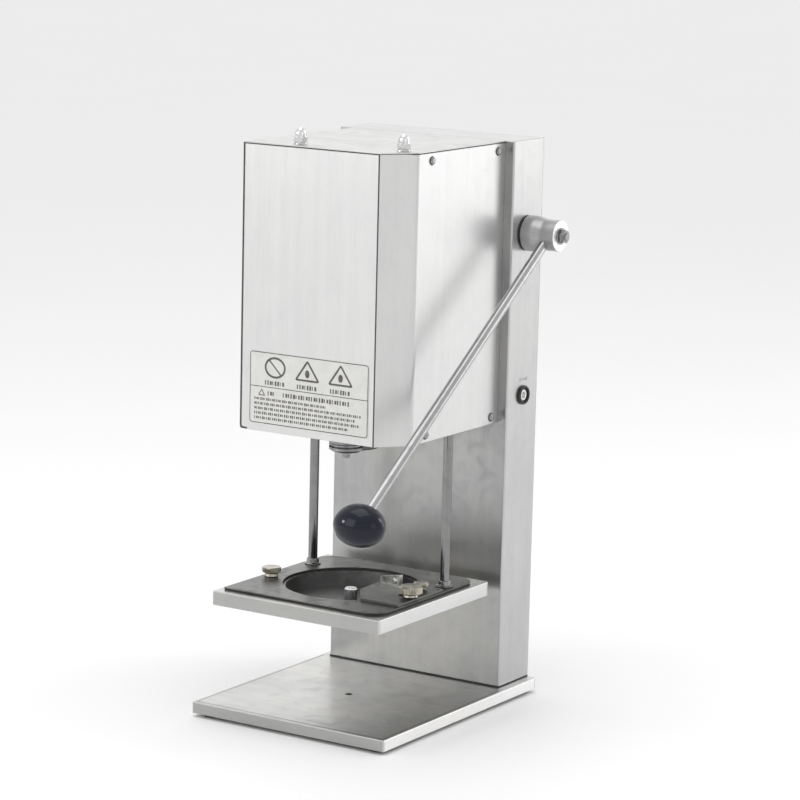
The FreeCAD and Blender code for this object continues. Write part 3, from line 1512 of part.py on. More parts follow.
def make_lift():
    bore = rod_radius + press_gap
    clamp_base = crosshead_bottom + crosshead_height
    collar_wide = cell("collar_wide", 8.8, "rod collar's foot radius")
    collar_slim = cell("collar_slim", 6.4, "rod collar's upper radius")
    collar_tall = cell("collar_tall", 6.5, "rod collar's height")
    rod_drop = cell("rod_drop", 12, "guide rod's end below the deck plate")
    nut_across = cell("rod_nut_across", 16, "rod nut, across flats")
    nut_height = cell("rod_nut_height", 7, "rod nut's height")
    clamp_radius = cell("clamp_radius", 8, "rod clamp's radius")
    clamp_tall = cell("clamp_tall", 10, "rod clamp's height")
    rods, collars, nuts, clamps = [], [], [], []
    for side in (-1, 1):
        spot = (side * rod_spread, rod_y)
        rods.append(cylinder(f"guide_rod_{side}", rod_radius, rod_length, (*spot, deck_bottom - rod_drop)))
        collars.append(turned(
            f"rod_collar_{side + 1}",
            [
                (bore, 0),
                (collar_wide, 0),
                (collar_wide, 1.2),
                (collar_slim + 0.4, 3.4),
                (collar_slim, collar_tall),
                (bore, collar_tall),
            ],
            (*spot, inset_top),
        ))
        nut = prism(f"rod_nut_body_{side}", nut_across, nut_height, (*spot, deck_bottom - nut_height))
        nut_hole = bore_through(f"rod_nut_hole_{side}", bore, deck_bottom - nut_height, deck_bottom, spot)
        nuts.append(cut(f"rod_nut_{side}", nut, nut_hole))
        clamps.append(turned(
            f"rod_clamp_{side + 1}",
            [
                (bore, 0),
                (clamp_radius, 0),
                (clamp_radius, clamp_tall - 1),
                (clamp_radius - 1, clamp_tall),
                (bore, clamp_tall),
            ],
            (*spot, clamp_base - 1),
        ))
    node(group("guide_rods_part", *rods), "guide_rods")
    node(group("rod_collars_part", *collars, *nuts), "rod_collars_and_nuts")

    height = (crosshead_bottom, clamp_base)
    bar_deep = cell("crosshead_deep", 8, "crosshead bar's half depth")
    arm_half = cell("crosshead_arm_half", 14, "half width of the crosshead's arm to the rack")
    bar_half = rod_spread + 7
    bar = box("crosshead_bar", (-bar_half, bar_half), (rod_y - bar_deep, rod_y + bar_deep), height)
    arm_end = shaft_y - gear_module * sector_teeth / 2 - rack_back
    arm_start = rod_y + bar_deep - 1
    arm = box("crosshead_arm", (-arm_half, arm_half), (arm_start, arm_end), height)
    bores = [
        bore_through(f"crosshead_bore_{side}", bore, *height, (side * rod_spread, rod_y))
        for side in (-1, 1)
    ]
    drilled = cut("crosshead_drilled", fuse("crosshead_solid", bar, arm), *bores)
    node(fuse("crosshead_part", drilled, *clamps), "crosshead")


# ---------------------------------------------------------------- jaw and thumb screws

thumb_shank = cell("thumb_shank", 3, "thumb screws' shank radius")
shank_foot = deck_bottom + 0.8

THUMB_SCREWS = {
    # x, y, head radius, neck radius, neck foot, head foot, head top
    "left_thumb_screw": (-86, -59, 10.2, 7.4, inset_top + clear_gap, 139.6, 145.2),
    "right_thumb_screw": (87, -55, 12.2, 7.8, jaw_top + clear_gap, 141.6, 149.4),
    "rear_thumb_screw": (77, -20, 7.8, 5.2, jaw_top + clear_gap, 140.4, 145.4),
}


def make_jaw():
    """A plate that slides to the side on two slots, with an upright tab that meets the cup."""
    tab_start = Vector(28.6, -23.6, 0)
    tab_end = Vector(57.5, -31.7, 0)
    plate = slab(
        "jaw_sheet",
        [
            (26.6, -59),
            (49, -92),
            (95, -92),
            (95, -5),
            (57, -5),
            (57, -25),
            (24.5, -17.5),
        ],
        jaw_bottom,
        jaw_top,
    )
    slots = []
    for name in ("right_thumb_screw", "rear_thumb_screw"):
        x, y = THUMB_SCREWS[name][:2]
        ends = (x - jaw_travel, x)
        across = (y - slot_half, y + slot_half)
        slots.append(box(name + "_slot", ends, across, (jaw_bottom - bore_past, jaw_top + bore_past)))
        for number, end in enumerate(ends):
            slots.append(bore_through(f"{name}_slot_end_{number}", slot_half, jaw_bottom, jaw_top, (end, y)))
    node(cut("jaw_plate_part", plate, fuse("jaw_slots", *slots)), "jaw_plate")

    run = tab_end - tab_start
    angle = math.degrees(math.atan2(run.y, run.x))
    gauge = cell("tab_gauge", 5, "jaw tab's thickness")
    low_end = cell("tab_low", 7.5, "jaw tab's height at its inner end")
    high_end = cell("tab_high", 14, "jaw tab's height at its outer end")
    screw_part = 0.78
    tab = doc.addObject("PartDesign::Body", "jaw_tab")
    points = [(0, 0), (run.Length, 0), (run.Length, high_end), (0, low_end)]
    face = outline(tab, "jaw_tab_outline", "XZ_Plane", points)
    pad = tab.newObject("PartDesign::Pad", "jaw_tab_pad")
    pad.Profile = face
    pad.Reversed = True
    bind(pad, "Length", gauge)
    tab.Placement.Rotation = FreeCAD.Rotation(Vector(0, 0, 1), angle)
    place(tab, tab_start.x, tab_start.y, jaw_top)
    middle = tab_start + run * screw_part
    screw = turned("jaw_screw", [(0, -1), (3.2, -1), (3.2, 0.2), (2.6, 1.4), (0, 1.9)], (0, 0, 0), "-Y")
    screw.Placement.Rotation = FreeCAD.Rotation(Vector(0, 0, 1), angle) * screw.Placement.Rotation
    place(screw, middle.x, middle.y, jaw_top + high_end / 2)
    node(fuse("jaw_block_part", tab, screw), "jaw_block")


def make_thumb_screws():
    for name, (x, y, head, neck, neck_foot, head_foot, head_top) in THUMB_SCREWS.items():
        bevel = 0.8
        screw = turned(
            name + "_blank",
            [
                (0, 0),
                (thumb_shank, 0),
                (thumb_shank, neck_foot - shank_foot),
                (neck, neck_foot - shank_foot),
                (neck, head_foot - shank_foot),
                (head - bevel, head_foot - shank_foot),
                (head, head_foot - shank_foot + bevel),
                (head, head_top - shank_foot - bevel),
                (head - bevel, head_top - shank_foot),
                (0, head_top - shank_foot),
            ],
            (x, y, shank_foot),
        )
        node(screw, name)


# ---------------------------------------------------------------- build, check and write

def check_document():
    """Stop if any object failed or any sub-part isn't a valid shape."""
    doc.recompute()
    for item in doc.Objects:
        faults = [state for state in item.State if re.search("Invalid|Error", state)]
        if faults:
            raise RuntimeError(f"{item.Name} is {faults}")
    for name, item in nodes.items():
        shape = item.Shape
        if shape.isNull() or not shape.isValid() or not shape.Solids:
            raise RuntimeError(f"{name} has no valid solid")


def write_steps():
    """One STEP file for each sub-part."""
    os.makedirs("parts", exist_ok=True)
    for name, item in nodes.items():
        item.Shape.exportStep(os.path.join("parts", name + ".step"))


for make in (
    make_base,
    make_column,
    make_casing,
    make_bearing_frame,
    make_chuck,
    make_roller_drive,
    make_electrics,
    make_lever_shaft,
    make_lever,
    make_sector,
    make_rack,
    make_tray,
    make_recess,
    make_lift,
    make_jaw,
    make_thumb_screws,
):
    make()
check_document()
write_steps()
print(len(nodes), "sub-parts written")
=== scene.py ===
import json
import math

import bmesh
import bpy
from mathutils import Matrix, Vector


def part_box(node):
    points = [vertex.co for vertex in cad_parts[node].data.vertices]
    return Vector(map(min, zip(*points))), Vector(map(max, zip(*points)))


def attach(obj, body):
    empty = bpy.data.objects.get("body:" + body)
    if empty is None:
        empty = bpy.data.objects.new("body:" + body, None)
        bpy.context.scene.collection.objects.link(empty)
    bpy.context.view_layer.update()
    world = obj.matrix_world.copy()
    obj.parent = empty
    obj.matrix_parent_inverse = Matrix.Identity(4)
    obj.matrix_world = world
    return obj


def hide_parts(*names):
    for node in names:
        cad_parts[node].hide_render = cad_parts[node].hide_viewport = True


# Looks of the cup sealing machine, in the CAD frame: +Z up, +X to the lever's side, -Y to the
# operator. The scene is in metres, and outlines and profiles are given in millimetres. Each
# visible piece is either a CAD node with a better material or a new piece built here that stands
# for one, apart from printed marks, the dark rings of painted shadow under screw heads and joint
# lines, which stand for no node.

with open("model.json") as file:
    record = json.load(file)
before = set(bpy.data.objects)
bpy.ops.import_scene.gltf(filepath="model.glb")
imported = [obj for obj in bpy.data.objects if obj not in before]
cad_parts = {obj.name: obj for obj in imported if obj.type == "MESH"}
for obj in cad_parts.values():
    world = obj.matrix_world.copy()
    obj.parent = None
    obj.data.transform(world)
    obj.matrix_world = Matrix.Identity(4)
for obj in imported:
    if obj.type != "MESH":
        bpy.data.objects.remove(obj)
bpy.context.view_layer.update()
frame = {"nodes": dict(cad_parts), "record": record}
nodes = frame["nodes"]
body_of = {
    node: body
    for body, names in frame["record"]["behaviour"]["bodies"].items()
    for node in names
}
slot_of = {row["node"]: row["material_slot"] for row in frame["record"]["subparts"]}

MM = 0.001
LEFT, RIGHT = (-1, 0, 0), (1, 0, 0)
FRONT, BACK = (0, -1, 0), (0, 1, 0)
CREASE = math.radians(36)


# ---------------------------------------------------------------- materials

class Shader:
    """One procedural material, built from a few kinds of node."""

    def __init__(self, name):
        self.material = bpy.data.materials.new(name)
        self.material.use_nodes = True
        self.tree = self.material.node_tree
        self.tree.nodes.clear()
        self.surface = self.add("ShaderNodeBsdfPrincipled")
        output = self.add("ShaderNodeOutputMaterial")
        self.tree.links.new(self.surface.outputs["BSDF"], output.inputs["Surface"])
        self.place = self.add("ShaderNodeTexCoord").outputs["Object"]
        self.normal = None

    def add(self, kind, inputs=None):
        node = self.tree.nodes.new(kind)
        for name, value in (inputs or {}).items():
            self.feed(node.inputs[name], value)
        return node

    def feed(self, socket, value):
        if isinstance(value, bpy.types.NodeSocket):
            self.tree.links.new(value, socket)
        else:
            socket.default_value = value

    def set(self, **values):
        for name, value in values.items():
            label = name.replace("_", " ").title() if name != "ior" else "IOR"
            self.feed(self.surface.inputs[label], value)

    def noise(self, size, stretch=(1, 1, 1), detail=3.0, twist=0.0, turn=(0, 0, 0)):
        """Noise with features about this many metres across, drawn out along an axis."""
        mapping = self.add("ShaderNodeMapping", {
            "Vector": self.place,
            "Scale": tuple(1 / (size * part) for part in stretch),
            "Rotation": turn,
        })
        made = self.add("ShaderNodeTexNoise", {
            "Vector": mapping.outputs["Vector"],
            "Scale": 1.0,
            "Detail": detail,
            "Distortion": twist,
        })
        return made.outputs["Fac"]

    def ramp(self, value, low, high, out_low=0.0, out_high=1.0):
        """A value's range from low to high, spread over another range and held at its ends."""
        made = self.add("ShaderNodeMapRange", {
            "Value": value,
            "From Min": low,
            "From Max": high,
            "To Min": out_low,
            "To Max": out_high,
        })
        return made.outputs["Result"]

    def sum(self, first, second, operation="ADD"):
        made = self.tree.nodes.new("ShaderNodeMath")
        made.operation = operation
        self.feed(made.inputs[0], first)
        self.feed(made.inputs[1], second)
        return made.outputs["Value"]

    def mix(self, factor, first, second):
        """A blend of two colours. This node has one set of sockets per data type, told by number."""
        colour_a, colour_b, colour_result = 6, 7, 2
        made = self.tree.nodes.new("ShaderNodeMix")
        made.data_type = "RGBA"
        self.feed(made.inputs["Factor"], factor)
        for socket, colour in ((colour_a, first), (colour_b, second)):
            self.feed(made.inputs[socket], (*colour, 1) if isinstance(colour, tuple) else colour)
        return made.outputs[colour_result]

    def bump(self, height, depth, strength=1.0):
        """Relief this many metres deep, on top of any relief added before."""
        made = self.add("ShaderNodeBump", {"Height": height, "Distance": depth, "Strength": strength})
        if self.normal is not None:
            self.tree.links.new(self.normal, made.inputs["Normal"])
        self.normal = made.outputs["Normal"]
        self.tree.links.new(self.normal, self.surface.inputs["Normal"])


# how far the lines of a brushed finish are drawn out along each axis
GRAIN_UP = (1, 1, 60)
GRAIN_ACROSS = (60, 1, 1)
GRAIN_DEEP = (1, 60, 1)


def brushed_steel(name, grain, dark, light, rough, cloud=0.5, line=0.0005):
    """Stainless sheet: fine brushed lines, faint handling smudges and a few scratches."""
    made = Shader(name)
    lines = made.noise(line, grain, 5)
    streaks = made.noise(0.009, grain, 2)
    clouds = made.noise(0.085, detail=2, twist=0.6)
    smudges = made.noise(0.024, detail=5, twist=1.4)
    scratches = made.noise(0.004, (1, 14, 3), 5, 2.0, (0.5, 0.9, 0.3))
    tone = made.sum(made.ramp(lines, 0.3, 0.7, 0, 0.34), made.ramp(streaks, 0.35, 0.65, 0, 0.18))
    tone = made.sum(tone, made.ramp(clouds, 0.35, 0.65, 0, 0.48 * cloud))
    tone = made.sum(tone, made.ramp(smudges, 0.42, 0.7, 0, 0.2 * cloud), "SUBTRACT")
    warm_tint = (1, 0.992, 0.965)
    warm_light = tuple(part * tint for part, tint in zip(light, warm_tint))
    colour = made.mix(tone, dark, made.mix(made.ramp(clouds, 0.4, 0.62), light, warm_light))
    roughness = made.sum(
        made.ramp(lines, 0.3, 0.7, rough - 0.03, rough + 0.03),
        made.ramp(smudges, 0.5, 0.75, 0, 0.10 * cloud),
    )
    roughness = made.sum(roughness, made.ramp(scratches, 0.66, 0.72, 0, 0.1))
    made.set(base_color=colour, metallic=1.0, roughness=roughness)
    made.bump(lines, 0.00001, 0.3)
    made.bump(clouds, 0.0006, 0.10)
    return made.material


def bright_chrome(name, grain=(1, 1, 1), tone=0.78, rough=0.07):
    """Polished plating with hairlines and dull fingermarks."""
    made = Shader(name)
    hair = made.noise(0.0012, grain, 3)
    marks = made.noise(0.012, detail=3, twist=1.0)
    dull = tone * 0.88
    colour = made.mix(made.ramp(marks, 0.45, 0.7), (tone, tone, tone * 1.01), (dull, dull, dull))
    roughness = made.sum(
        made.ramp(hair, 0.35, 0.7, rough, rough + 0.05),
        made.ramp(marks, 0.55, 0.8, 0, 0.12),
    )
    made.set(base_color=colour, metallic=1.0, roughness=roughness)
    made.bump(hair, 0.00001, 0.25)
    return made.material


def turned_metal(name, dark, light, rough):
    """Machined metal with fine tool marks and oily patches."""
    made = Shader(name)
    cuts = made.noise(0.0011, (3, 3, 1), 4)
    patches = made.noise(0.016, detail=4, twist=1.0)
    tone = made.sum(made.ramp(cuts, 0.3, 0.7, 0, 0.5), made.ramp(patches, 0.4, 0.7, 0, 0.5))
    roughness = made.sum(
        made.ramp(cuts, 0.3, 0.7, rough, rough + 0.08),
        made.ramp(patches, 0.4, 0.7, 0, 0.1),
    )
    made.set(base_color=made.mix(tone, dark, light), metallic=1.0, roughness=roughness)
    made.bump(cuts, 0.00003, 0.4)
    return made.material


def moulded(name, dark, light, rough, gloss=0.0):
    """Plastic, rubber, paint or ink: a fine grain, dust and rubbed patches."""
    made = Shader(name)
    fine = made.noise(0.0006, detail=3)
    rubbed = made.noise(0.011, detail=4, twist=0.8)
    roughness = made.sum(
        made.ramp(fine, 0.3, 0.7, rough, rough + 0.05),
        made.ramp(rubbed, 0.5, 0.75, 0, 0.1),
    )
    colour = made.mix(made.ramp(rubbed, 0.35, 0.7), dark, light)
    made.set(base_color=colour, roughness=roughness, coat_weight=gloss)
    made.bump(fine, 0.00003, 0.4)
    return made.material


def knob_resin(name, dark, light):
    """Glossy dark phenolic resin with faint swirls and hairline polishing marks."""
    made = Shader(name)
    swirl = made.noise(0.013, (1, 2, 1), 4, 2.5)
    hair = made.noise(0.0009, (1, 8, 1), 3)
    made.set(
        base_color=made.mix(made.ramp(swirl, 0.35, 0.7), dark, light),
        roughness=made.sum(made.ramp(hair, 0.3, 0.7, 0.13, 0.17), made.ramp(swirl, 0.6, 0.8, 0, 0.06)),
        ior=1.4,
    )
    made.bump(swirl, 0.0001, 0.05)
    return made.material


# each material's name and kind, then what that kind takes after the name
FINISHES = (
    ("upright_steel", brushed_steel, GRAIN_UP, (0.46, 0.46, 0.465), (0.60, 0.60, 0.60), 0.30),
    # painted shade: a darker copy of the column steel for its front web, which the head shades
    ("column_web_steel", brushed_steel, GRAIN_UP, (0.34, 0.342, 0.344), (0.46, 0.458, 0.448), 0.30, 1.0),
    ("panel_steel", brushed_steel, GRAIN_UP, (0.58, 0.58, 0.58), (0.70, 0.70, 0.695), 0.34, 0.4),
    ("flat_steel", brushed_steel, GRAIN_ACROSS, (0.46, 0.46, 0.455), (0.62, 0.615, 0.60), 0.30, 0.9),
    # painted shade: a darker copy of the pan steel for the front flanges
    ("front_flange_steel", brushed_steel, GRAIN_ACROSS, (0.37, 0.37, 0.365), (0.46, 0.46, 0.45), 0.32),
    # painted light: a lighter copy of the pan steel for the tray's side flanges
    ("side_flange_steel", brushed_steel, GRAIN_DEEP, (0.62, 0.62, 0.62), (0.76, 0.76, 0.75), 0.34),
    # painted light: an even lighter copy for the base's side flanges
    ("base_flange_steel", brushed_steel, GRAIN_DEEP, (0.88, 0.88, 0.88), (0.97, 0.97, 0.96), 0.42),
    (
        "inset_steel", brushed_steel, GRAIN_ACROSS,
        (0.095, 0.095, 0.093), (0.20, 0.20, 0.193), 0.34, 1.2, 0.0011,
    ),
    ("bright_chrome", bright_chrome),
    ("rod_chrome", bright_chrome, (1, 1, 30), 0.24, 0.10),
    ("post_chrome", bright_chrome, (1, 1, 20), 0.88, 0.26),
    ("lever_chrome", bright_chrome, (1, 12, 12), 0.42, 0.12),
    ("screw_steel", bright_chrome, (1, 1, 1), 0.28, 0.16),
    # painted light: a near-white copy of the hub metal for its lit end face
    ("bright_face", turned_metal, (0.80, 0.80, 0.80), (0.90, 0.90, 0.90), 0.34),
    ("machined_steel", turned_metal, (0.20, 0.20, 0.21), (0.38, 0.38, 0.38), 0.28),
    ("cast_aluminium", turned_metal, (0.42, 0.42, 0.42), (0.60, 0.60, 0.59), 0.30),
    ("dish_aluminium", turned_metal, (0.20, 0.20, 0.20), (0.30, 0.30, 0.295), 0.36),
    ("hub_aluminium", turned_metal, (0.40, 0.40, 0.41), (0.54, 0.54, 0.54), 0.30),
    ("tab_steel", turned_metal, (0.52, 0.52, 0.50), (0.80, 0.80, 0.77), 0.26),
    # painted shade: a darker copy of machined steel for parts that sit in shade
    ("dark_steel", turned_metal, (0.09, 0.09, 0.095), (0.19, 0.19, 0.19), 0.30),
    ("knurled_nickel", turned_metal, (0.34, 0.315, 0.265), (0.60, 0.565, 0.48), 0.22),
    ("bronze", turned_metal, (0.46, 0.30, 0.13), (0.66, 0.46, 0.22), 0.32),
    ("plated_steel", turned_metal, (0.42, 0.43, 0.43), (0.58, 0.58, 0.55), 0.30),
    ("black_rubber", moulded, (0.010, 0.010, 0.010), (0.028, 0.027, 0.026), 0.62),
    ("black_plastic", moulded, (0.014, 0.014, 0.015), (0.03, 0.03, 0.03), 0.34),
    ("white_plastic", moulded, (0.72, 0.72, 0.70), (0.82, 0.82, 0.80), 0.28, 0.2),
    ("navy_knob", knob_resin, (0.002, 0.003, 0.010), (0.004, 0.006, 0.018)),
    ("motor_paint", moulded, (0.02, 0.02, 0.022), (0.04, 0.04, 0.042), 0.36, 0.1),
    ("circuit_board", moulded, (0.01, 0.10, 0.04), (0.02, 0.16, 0.06), 0.35, 0.2),
    ("label_film", moulded, (0.60, 0.60, 0.58), (0.66, 0.66, 0.64), 0.38),
    ("label_ink", moulded, (0.075, 0.068, 0.064), (0.13, 0.12, 0.115), 0.42),
    ("joint_shadow", moulded, (0.030, 0.030, 0.031), (0.06, 0.06, 0.06), 0.5),
)
MATERIALS = {name: kind(name, *settings) for name, kind, *settings in FINISHES}

# the finish of each node whose record slot is too coarse; the rest use their slot's name
NODE_FINISH = {
    "column_shell": "upright_steel",
    "column_back_cover": "upright_steel",
    "front_panel": "panel_steel",
    "left_panel": "panel_steel",
    "right_panel": "panel_steel",
    "inset_plate": "inset_steel",
    "jaw_plate": "inset_steel",
    "guide_rods": "rod_chrome",
    "lever_rod": "lever_chrome",
    "panel_screws": "screw_steel",
    "hub_nut": "screw_steel",
    "rod_collars_and_nuts": "screw_steel",
    "back_cover_screws": "screw_steel",
    "cup_dish": "dish_aluminium",
    "lever_hub": "hub_aluminium",
    "cup_post": "post_chrome",
    "jaw_block": "tab_steel",
    # painted shade: the roller carrier and chuck are darkened as if in shade
    "roller_carrier": "dark_steel",
    "seaming_chuck": "dark_steel",
}


def finish_of(node):
    """The material for a CAD node or the piece that stands for it."""
    slot = slot_of[node]
    return NODE_FINISH.get(node, "flat_steel" if slot == "brushed_steel" else slot)


for name, item in nodes.items():
    item.data.materials.clear()
    item.data.materials.append(MATERIALS[finish_of(name)])


# ---------------------------------------------------------------- outlines and placements

def rounded(points, radius, steps=4, closed=True):
    """The outline with its corners rounded over."""
    made = []
    for number, point in enumerate(points):
        here = Vector(point)
        if not closed and number in (0, len(points) - 1):
            made.append(here)
            continue
        before = Vector(points[number - 1]) - here
        after = Vector(points[(number + 1) % len(points)]) - here
        half_angle = before.angle(after) / 2
        reach = min(radius / math.tan(half_angle), before.length * 0.49, after.length * 0.49)
        for step in range(steps + 1):
            part = step / steps
            toward_before = before.normalized() * reach * (1 - part) ** 2
            made.append(here + toward_before + after.normalized() * reach * part ** 2)
    return made


def arc(start, end, steps):
    """Angles from start to end, both included."""
    return [start + (end - start) * step / steps for step in range(steps + 1)]


def oval(x, y, half_wide, half_tall, turns):
    """An outline round a point, with a corner at each of these angles."""
    return [(x + half_wide * math.cos(turn), y + half_tall * math.sin(turn)) for turn in turns]


def rectangle(left, right, low, high):
    return [(left, low), (right, low), (right, high), (left, high)]


def bent(points, bend, gauge):
    """The outline of a sheet that follows points in plan, with round bends, on the left of the run."""
    outer = rounded(points, bend, 7, False)
    inner = []
    for number, point in enumerate(outer):
        before = outer[max(number - 1, 0)]
        after = outer[min(number + 1, len(outer) - 1)]
        run = (after - before).normalized()
        inner.append(point + Vector((-run.y, run.x)) * gauge)
    return outer + inner[::-1]


def stroke(points, width):
    """The outline of a line of this width that follows points, with sharp bends."""
    return bent(points, 0.01, width)


def facing(at, along=(0, 0, 1)):
    """A placement at a point whose Z axis runs along a direction."""
    turn = Vector((0, 0, 1)).rotation_difference(Vector(along))
    return Matrix.Translation(at) @ turn.to_matrix().to_4x4()


def in_plan(height=0.0):
    """A placement for outlines in plan, at a height in millimetres."""
    return facing((0, 0, height * MM))


def front_face(at):
    """A placement on a front wall: X to the right, Y up and Z out to the operator."""
    return Matrix.Translation(Vector(at) * MM) @ Matrix.Rotation(math.pi / 2, 4, "X")


def side_face(at, side):
    """A placement on a side wall: X to the back, Y up and Z out to side 1 or -1."""
    return Matrix.Translation(Vector(at) * MM) @ Matrix((
        (0, 0, side, 0),
        (1, 0, 0, 0),
        (0, 1, 0, 0),
        (0, 0, 0, 1),
    ))


def mm_box(node):
    """A node's lowest and highest corner in millimetres."""
    return tuple(Vector(corner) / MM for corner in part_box(node))


def mm_middle(node):
    """The middle of a node's box in millimetres."""
    low, high = mm_box(node)
    return (low + high) / 2


# ---------------------------------------------------------------- mesh helpers

def lathe(work, profile, place, shape=None, segments=96):
    """Adds a profile of (radius, height), turned round the placement's Z axis.

    A shape gives the radius to use instead at each angle, radius and height.
    """
    on_axis = 1e-6
    rings = []
    for radius, height in profile:
        count = segments if radius > on_axis else 1
        ring = []
        for number in range(count):
            angle = 2 * math.pi * number / segments
            reach = shape(angle, radius, height) if shape else radius
            point = Vector((reach * math.cos(angle), reach * math.sin(angle), height)) * MM
            ring.append(work.verts.new(place @ point))
        rings.append(ring)
    for low, high in zip(rings, rings[1:]):
        for number in range(segments):
            after = number + 1
            corners = (
                low[number % len(low)],
                low[after % len(low)],
                high[after % len(high)],
                high[number % len(high)],
            )
            corners = tuple(dict.fromkeys(corners))
            if len(corners) > 2:
                work.faces.new(corners)


def hexagon(across):
    """A shape for lathe that gives a nut's six flats, this far across."""
    def limit(angle, radius, height):
        from_flat = (angle % (math.pi / 3)) - math.pi / 6
        return min(radius, across / 2 / math.cos(from_flat))
    return limit


def outline_rows(work, place, *levels):
    """New vertices for each outline at its level along the placement's Z axis."""
    return [
        [work.verts.new(place @ (Vector((x, y, level)) * MM)) for x, y in outline]
        for outline, level in levels
    ]


def bridge(work, row, row_after):
    """Faces between two rows with the same number of vertices."""
    count = len(row)
    for number in range(count):
        after = (number + 1) % count
        work.faces.new((row[number], row[after], row_after[after], row_after[number]))


def extruded(work, outline, place, low, high):
    """Adds a plate: an outline in the placement's XY plane, from low to high on its Z axis."""
    bottom, top = outline_rows(work, place, (outline, low), (outline, high))
    bridge(work, bottom, top)
    work.faces.new(bottom[::-1])
    work.faces.new(top)


def ringed(work, outer, inner, place, low, high):
    """Adds a plate between two outlines with the same number of points."""
    rows = outline_rows(work, place, (outer, low), (outer, high), (inner, high), (inner, low))
    for row, row_after in zip(rows, rows[1:] + rows[:1]):
        bridge(work, row, row_after)


def finished(name, work, stands_for=None, material=None, rides=None):
    """Makes an object of a bmesh, with its finish, and lets it ride on its body."""
    weld = 0.0005 * MM
    bmesh.ops.remove_doubles(work, verts=work.verts, dist=weld)
    bmesh.ops.recalc_face_normals(work, faces=work.faces)
    mesh = bpy.data.meshes.new(name)
    work.to_mesh(mesh)
    work.free()
    piece = bpy.data.objects.new(name, mesh)
    bpy.context.scene.collection.objects.link(piece)
    mesh.materials.append(MATERIALS[material or finish_of(stands_for)])
    mesh.shade_smooth()
    mesh.set_sharp_from_angle(angle=CREASE)
    piece.modifiers.new("even_normals", "WEIGHTED_NORMAL").keep_sharp = True
    if stands_for:
        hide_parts(stands_for)
    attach(piece, rides or body_of[stands_for])
    return piece


def soften(piece, width, segments, least_angle):
    """Bevels a piece's sharp edges before its normals are evened out."""
    bevel = piece.modifiers.new("soft_edges", "BEVEL")
    bevel.limit_method = "ANGLE"
    bevel.angle_limit = math.radians(least_angle)
    bevel.width = width * MM
    bevel.segments = segments
    piece.modifiers.move(1, 0)


def softened(node, name, width, segments=3):
    """A copy of a sheet or block with its sharp edges rounded over."""
    weld, flat = 0.003 * MM, math.radians(0.5)
    source = nodes[node]
    work = bmesh.new()
    work.from_mesh(source.data)
    work.transform(source.matrix_world)
    bmesh.ops.remove_doubles(work, verts=work.verts, dist=weld)
    bmesh.ops.dissolve_limit(work, angle_limit=flat, verts=work.verts, edges=work.edges)
    piece = finished(name, work, stands_for=node)
    soften(piece, width, segments, 40)
    return piece


def carve(piece, tool):
    """Cuts the shape in a bmesh out of a piece, and keeps the result as its mesh."""
    bmesh.ops.recalc_face_normals(tool, faces=tool.faces)
    mesh = bpy.data.meshes.new("cutter")
    tool.to_mesh(mesh)
    tool.free()
    cutter = bpy.data.objects.new("cutter", mesh)
    bpy.context.scene.collection.objects.link(cutter)
    cut = piece.modifiers.new("cut", "BOOLEAN")
    cut.object = cutter
    cut.solver = "EXACT"
    bpy.context.view_layer.update()
    # the other modifiers stay live, so they are hidden while the cut is made
    for other in piece.modifiers:
        other.show_viewport = other is cut
    graph = bpy.context.evaluated_depsgraph_get()
    made = bpy.data.meshes.new_from_object(piece.evaluated_get(graph))
    piece.modifiers.remove(cut)
    for other in piece.modifiers:
        other.show_viewport = True
    old = piece.data
    piece.data = made
    bpy.data.meshes.remove(old)
    bpy.data.objects.remove(cutter)
    made.shade_smooth()
    made.set_sharp_from_angle(angle=CREASE)


def paint_light_and_shade_by_facing(piece, material, direction, least=0.9):
    """Gives the faces that look along a direction a material of their own: a lighter copy of the steel as
    painted light, or a darker copy as painted shade.
    """
    piece.data.materials.append(MATERIALS[material])
    direction = Vector(direction)
    for face in piece.data.polygons:
        if face.normal.dot(direction) > least:
            face.material_index = len(piece.data.materials) - 1


# ---------------------------------------------------------------- screws and nuts

def cross_slot(tool, place, radius, top):
    """Adds the cutter for a screw's cross recess."""
    half, reach = radius * 0.17, radius * 0.56
    floor, above = top * 0.42, top * 1.4
    slant = 0.4
    for turn in (0, math.pi / 2):
        turned = place @ Matrix.Rotation(turn + slant, 4, "Z")
        extruded(tool, rectangle(-reach, reach, -half, half), turned, floor, above)


def pan_heads(name, node, spots, radius, top):
    """Pan screw heads with cross recesses, each on a thin dark ring of painted shadow. A spot has a point
    and a direction.
    """
    brow = [(radius, 0.2), (radius, top * 0.55), (radius * 0.62, top), (0, top)]
    profile = [(0, 0), (radius, 0)] + rounded(brow, top * 0.5, 5, False)
    # the profile of the dark ring of painted shadow under each head
    line = [(0, 0), (radius + 0.7, 0), (radius + 0.6, 0.25), (radius - 0.6, 0.35), (0, 0.35)]
    work, tool, rings = bmesh.new(), bmesh.new(), bmesh.new()
    for point, direction in spots:
        place = facing(Vector(point) * MM, direction)
        lathe(work, profile, place, segments=40)
        cross_slot(tool, place, radius, top)
        lathe(rings, line, place, segments=40)
    carve(finished(name, work, stands_for=node), tool)
    # painted shadow: a dark ring under each screw head
    finished(name + "_shadow_rings", rings, material="joint_shadow", rides=body_of[node])


def make_screws():
    """The heads on both side panels, and those on the back cover."""
    low, high = mm_box("panel_screws")
    radius, top = 4.1, 2.6
    spots = [
        ((wall, y, z), direction)
        for wall, direction in ((low.x + top, LEFT), (high.x - top, RIGHT))
        for y in (low.y + radius, high.y - radius)
        for z in (low.z + radius, high.z - radius)
    ]
    pan_heads("panel_screw_heads", "panel_screws", spots, radius, top)

    low, high = mm_box("back_cover_screws")
    middle = mm_middle("back_cover_screws")
    radius, top = 4.0, 2.3
    spots = [
        ((x, low.y, z), BACK)
        for x in (low.x + radius, high.x - radius)
        for z in (low.z + radius, middle.z, high.z - radius)
    ]
    pan_heads("back_screw_heads", "back_cover_screws", spots, radius, top)


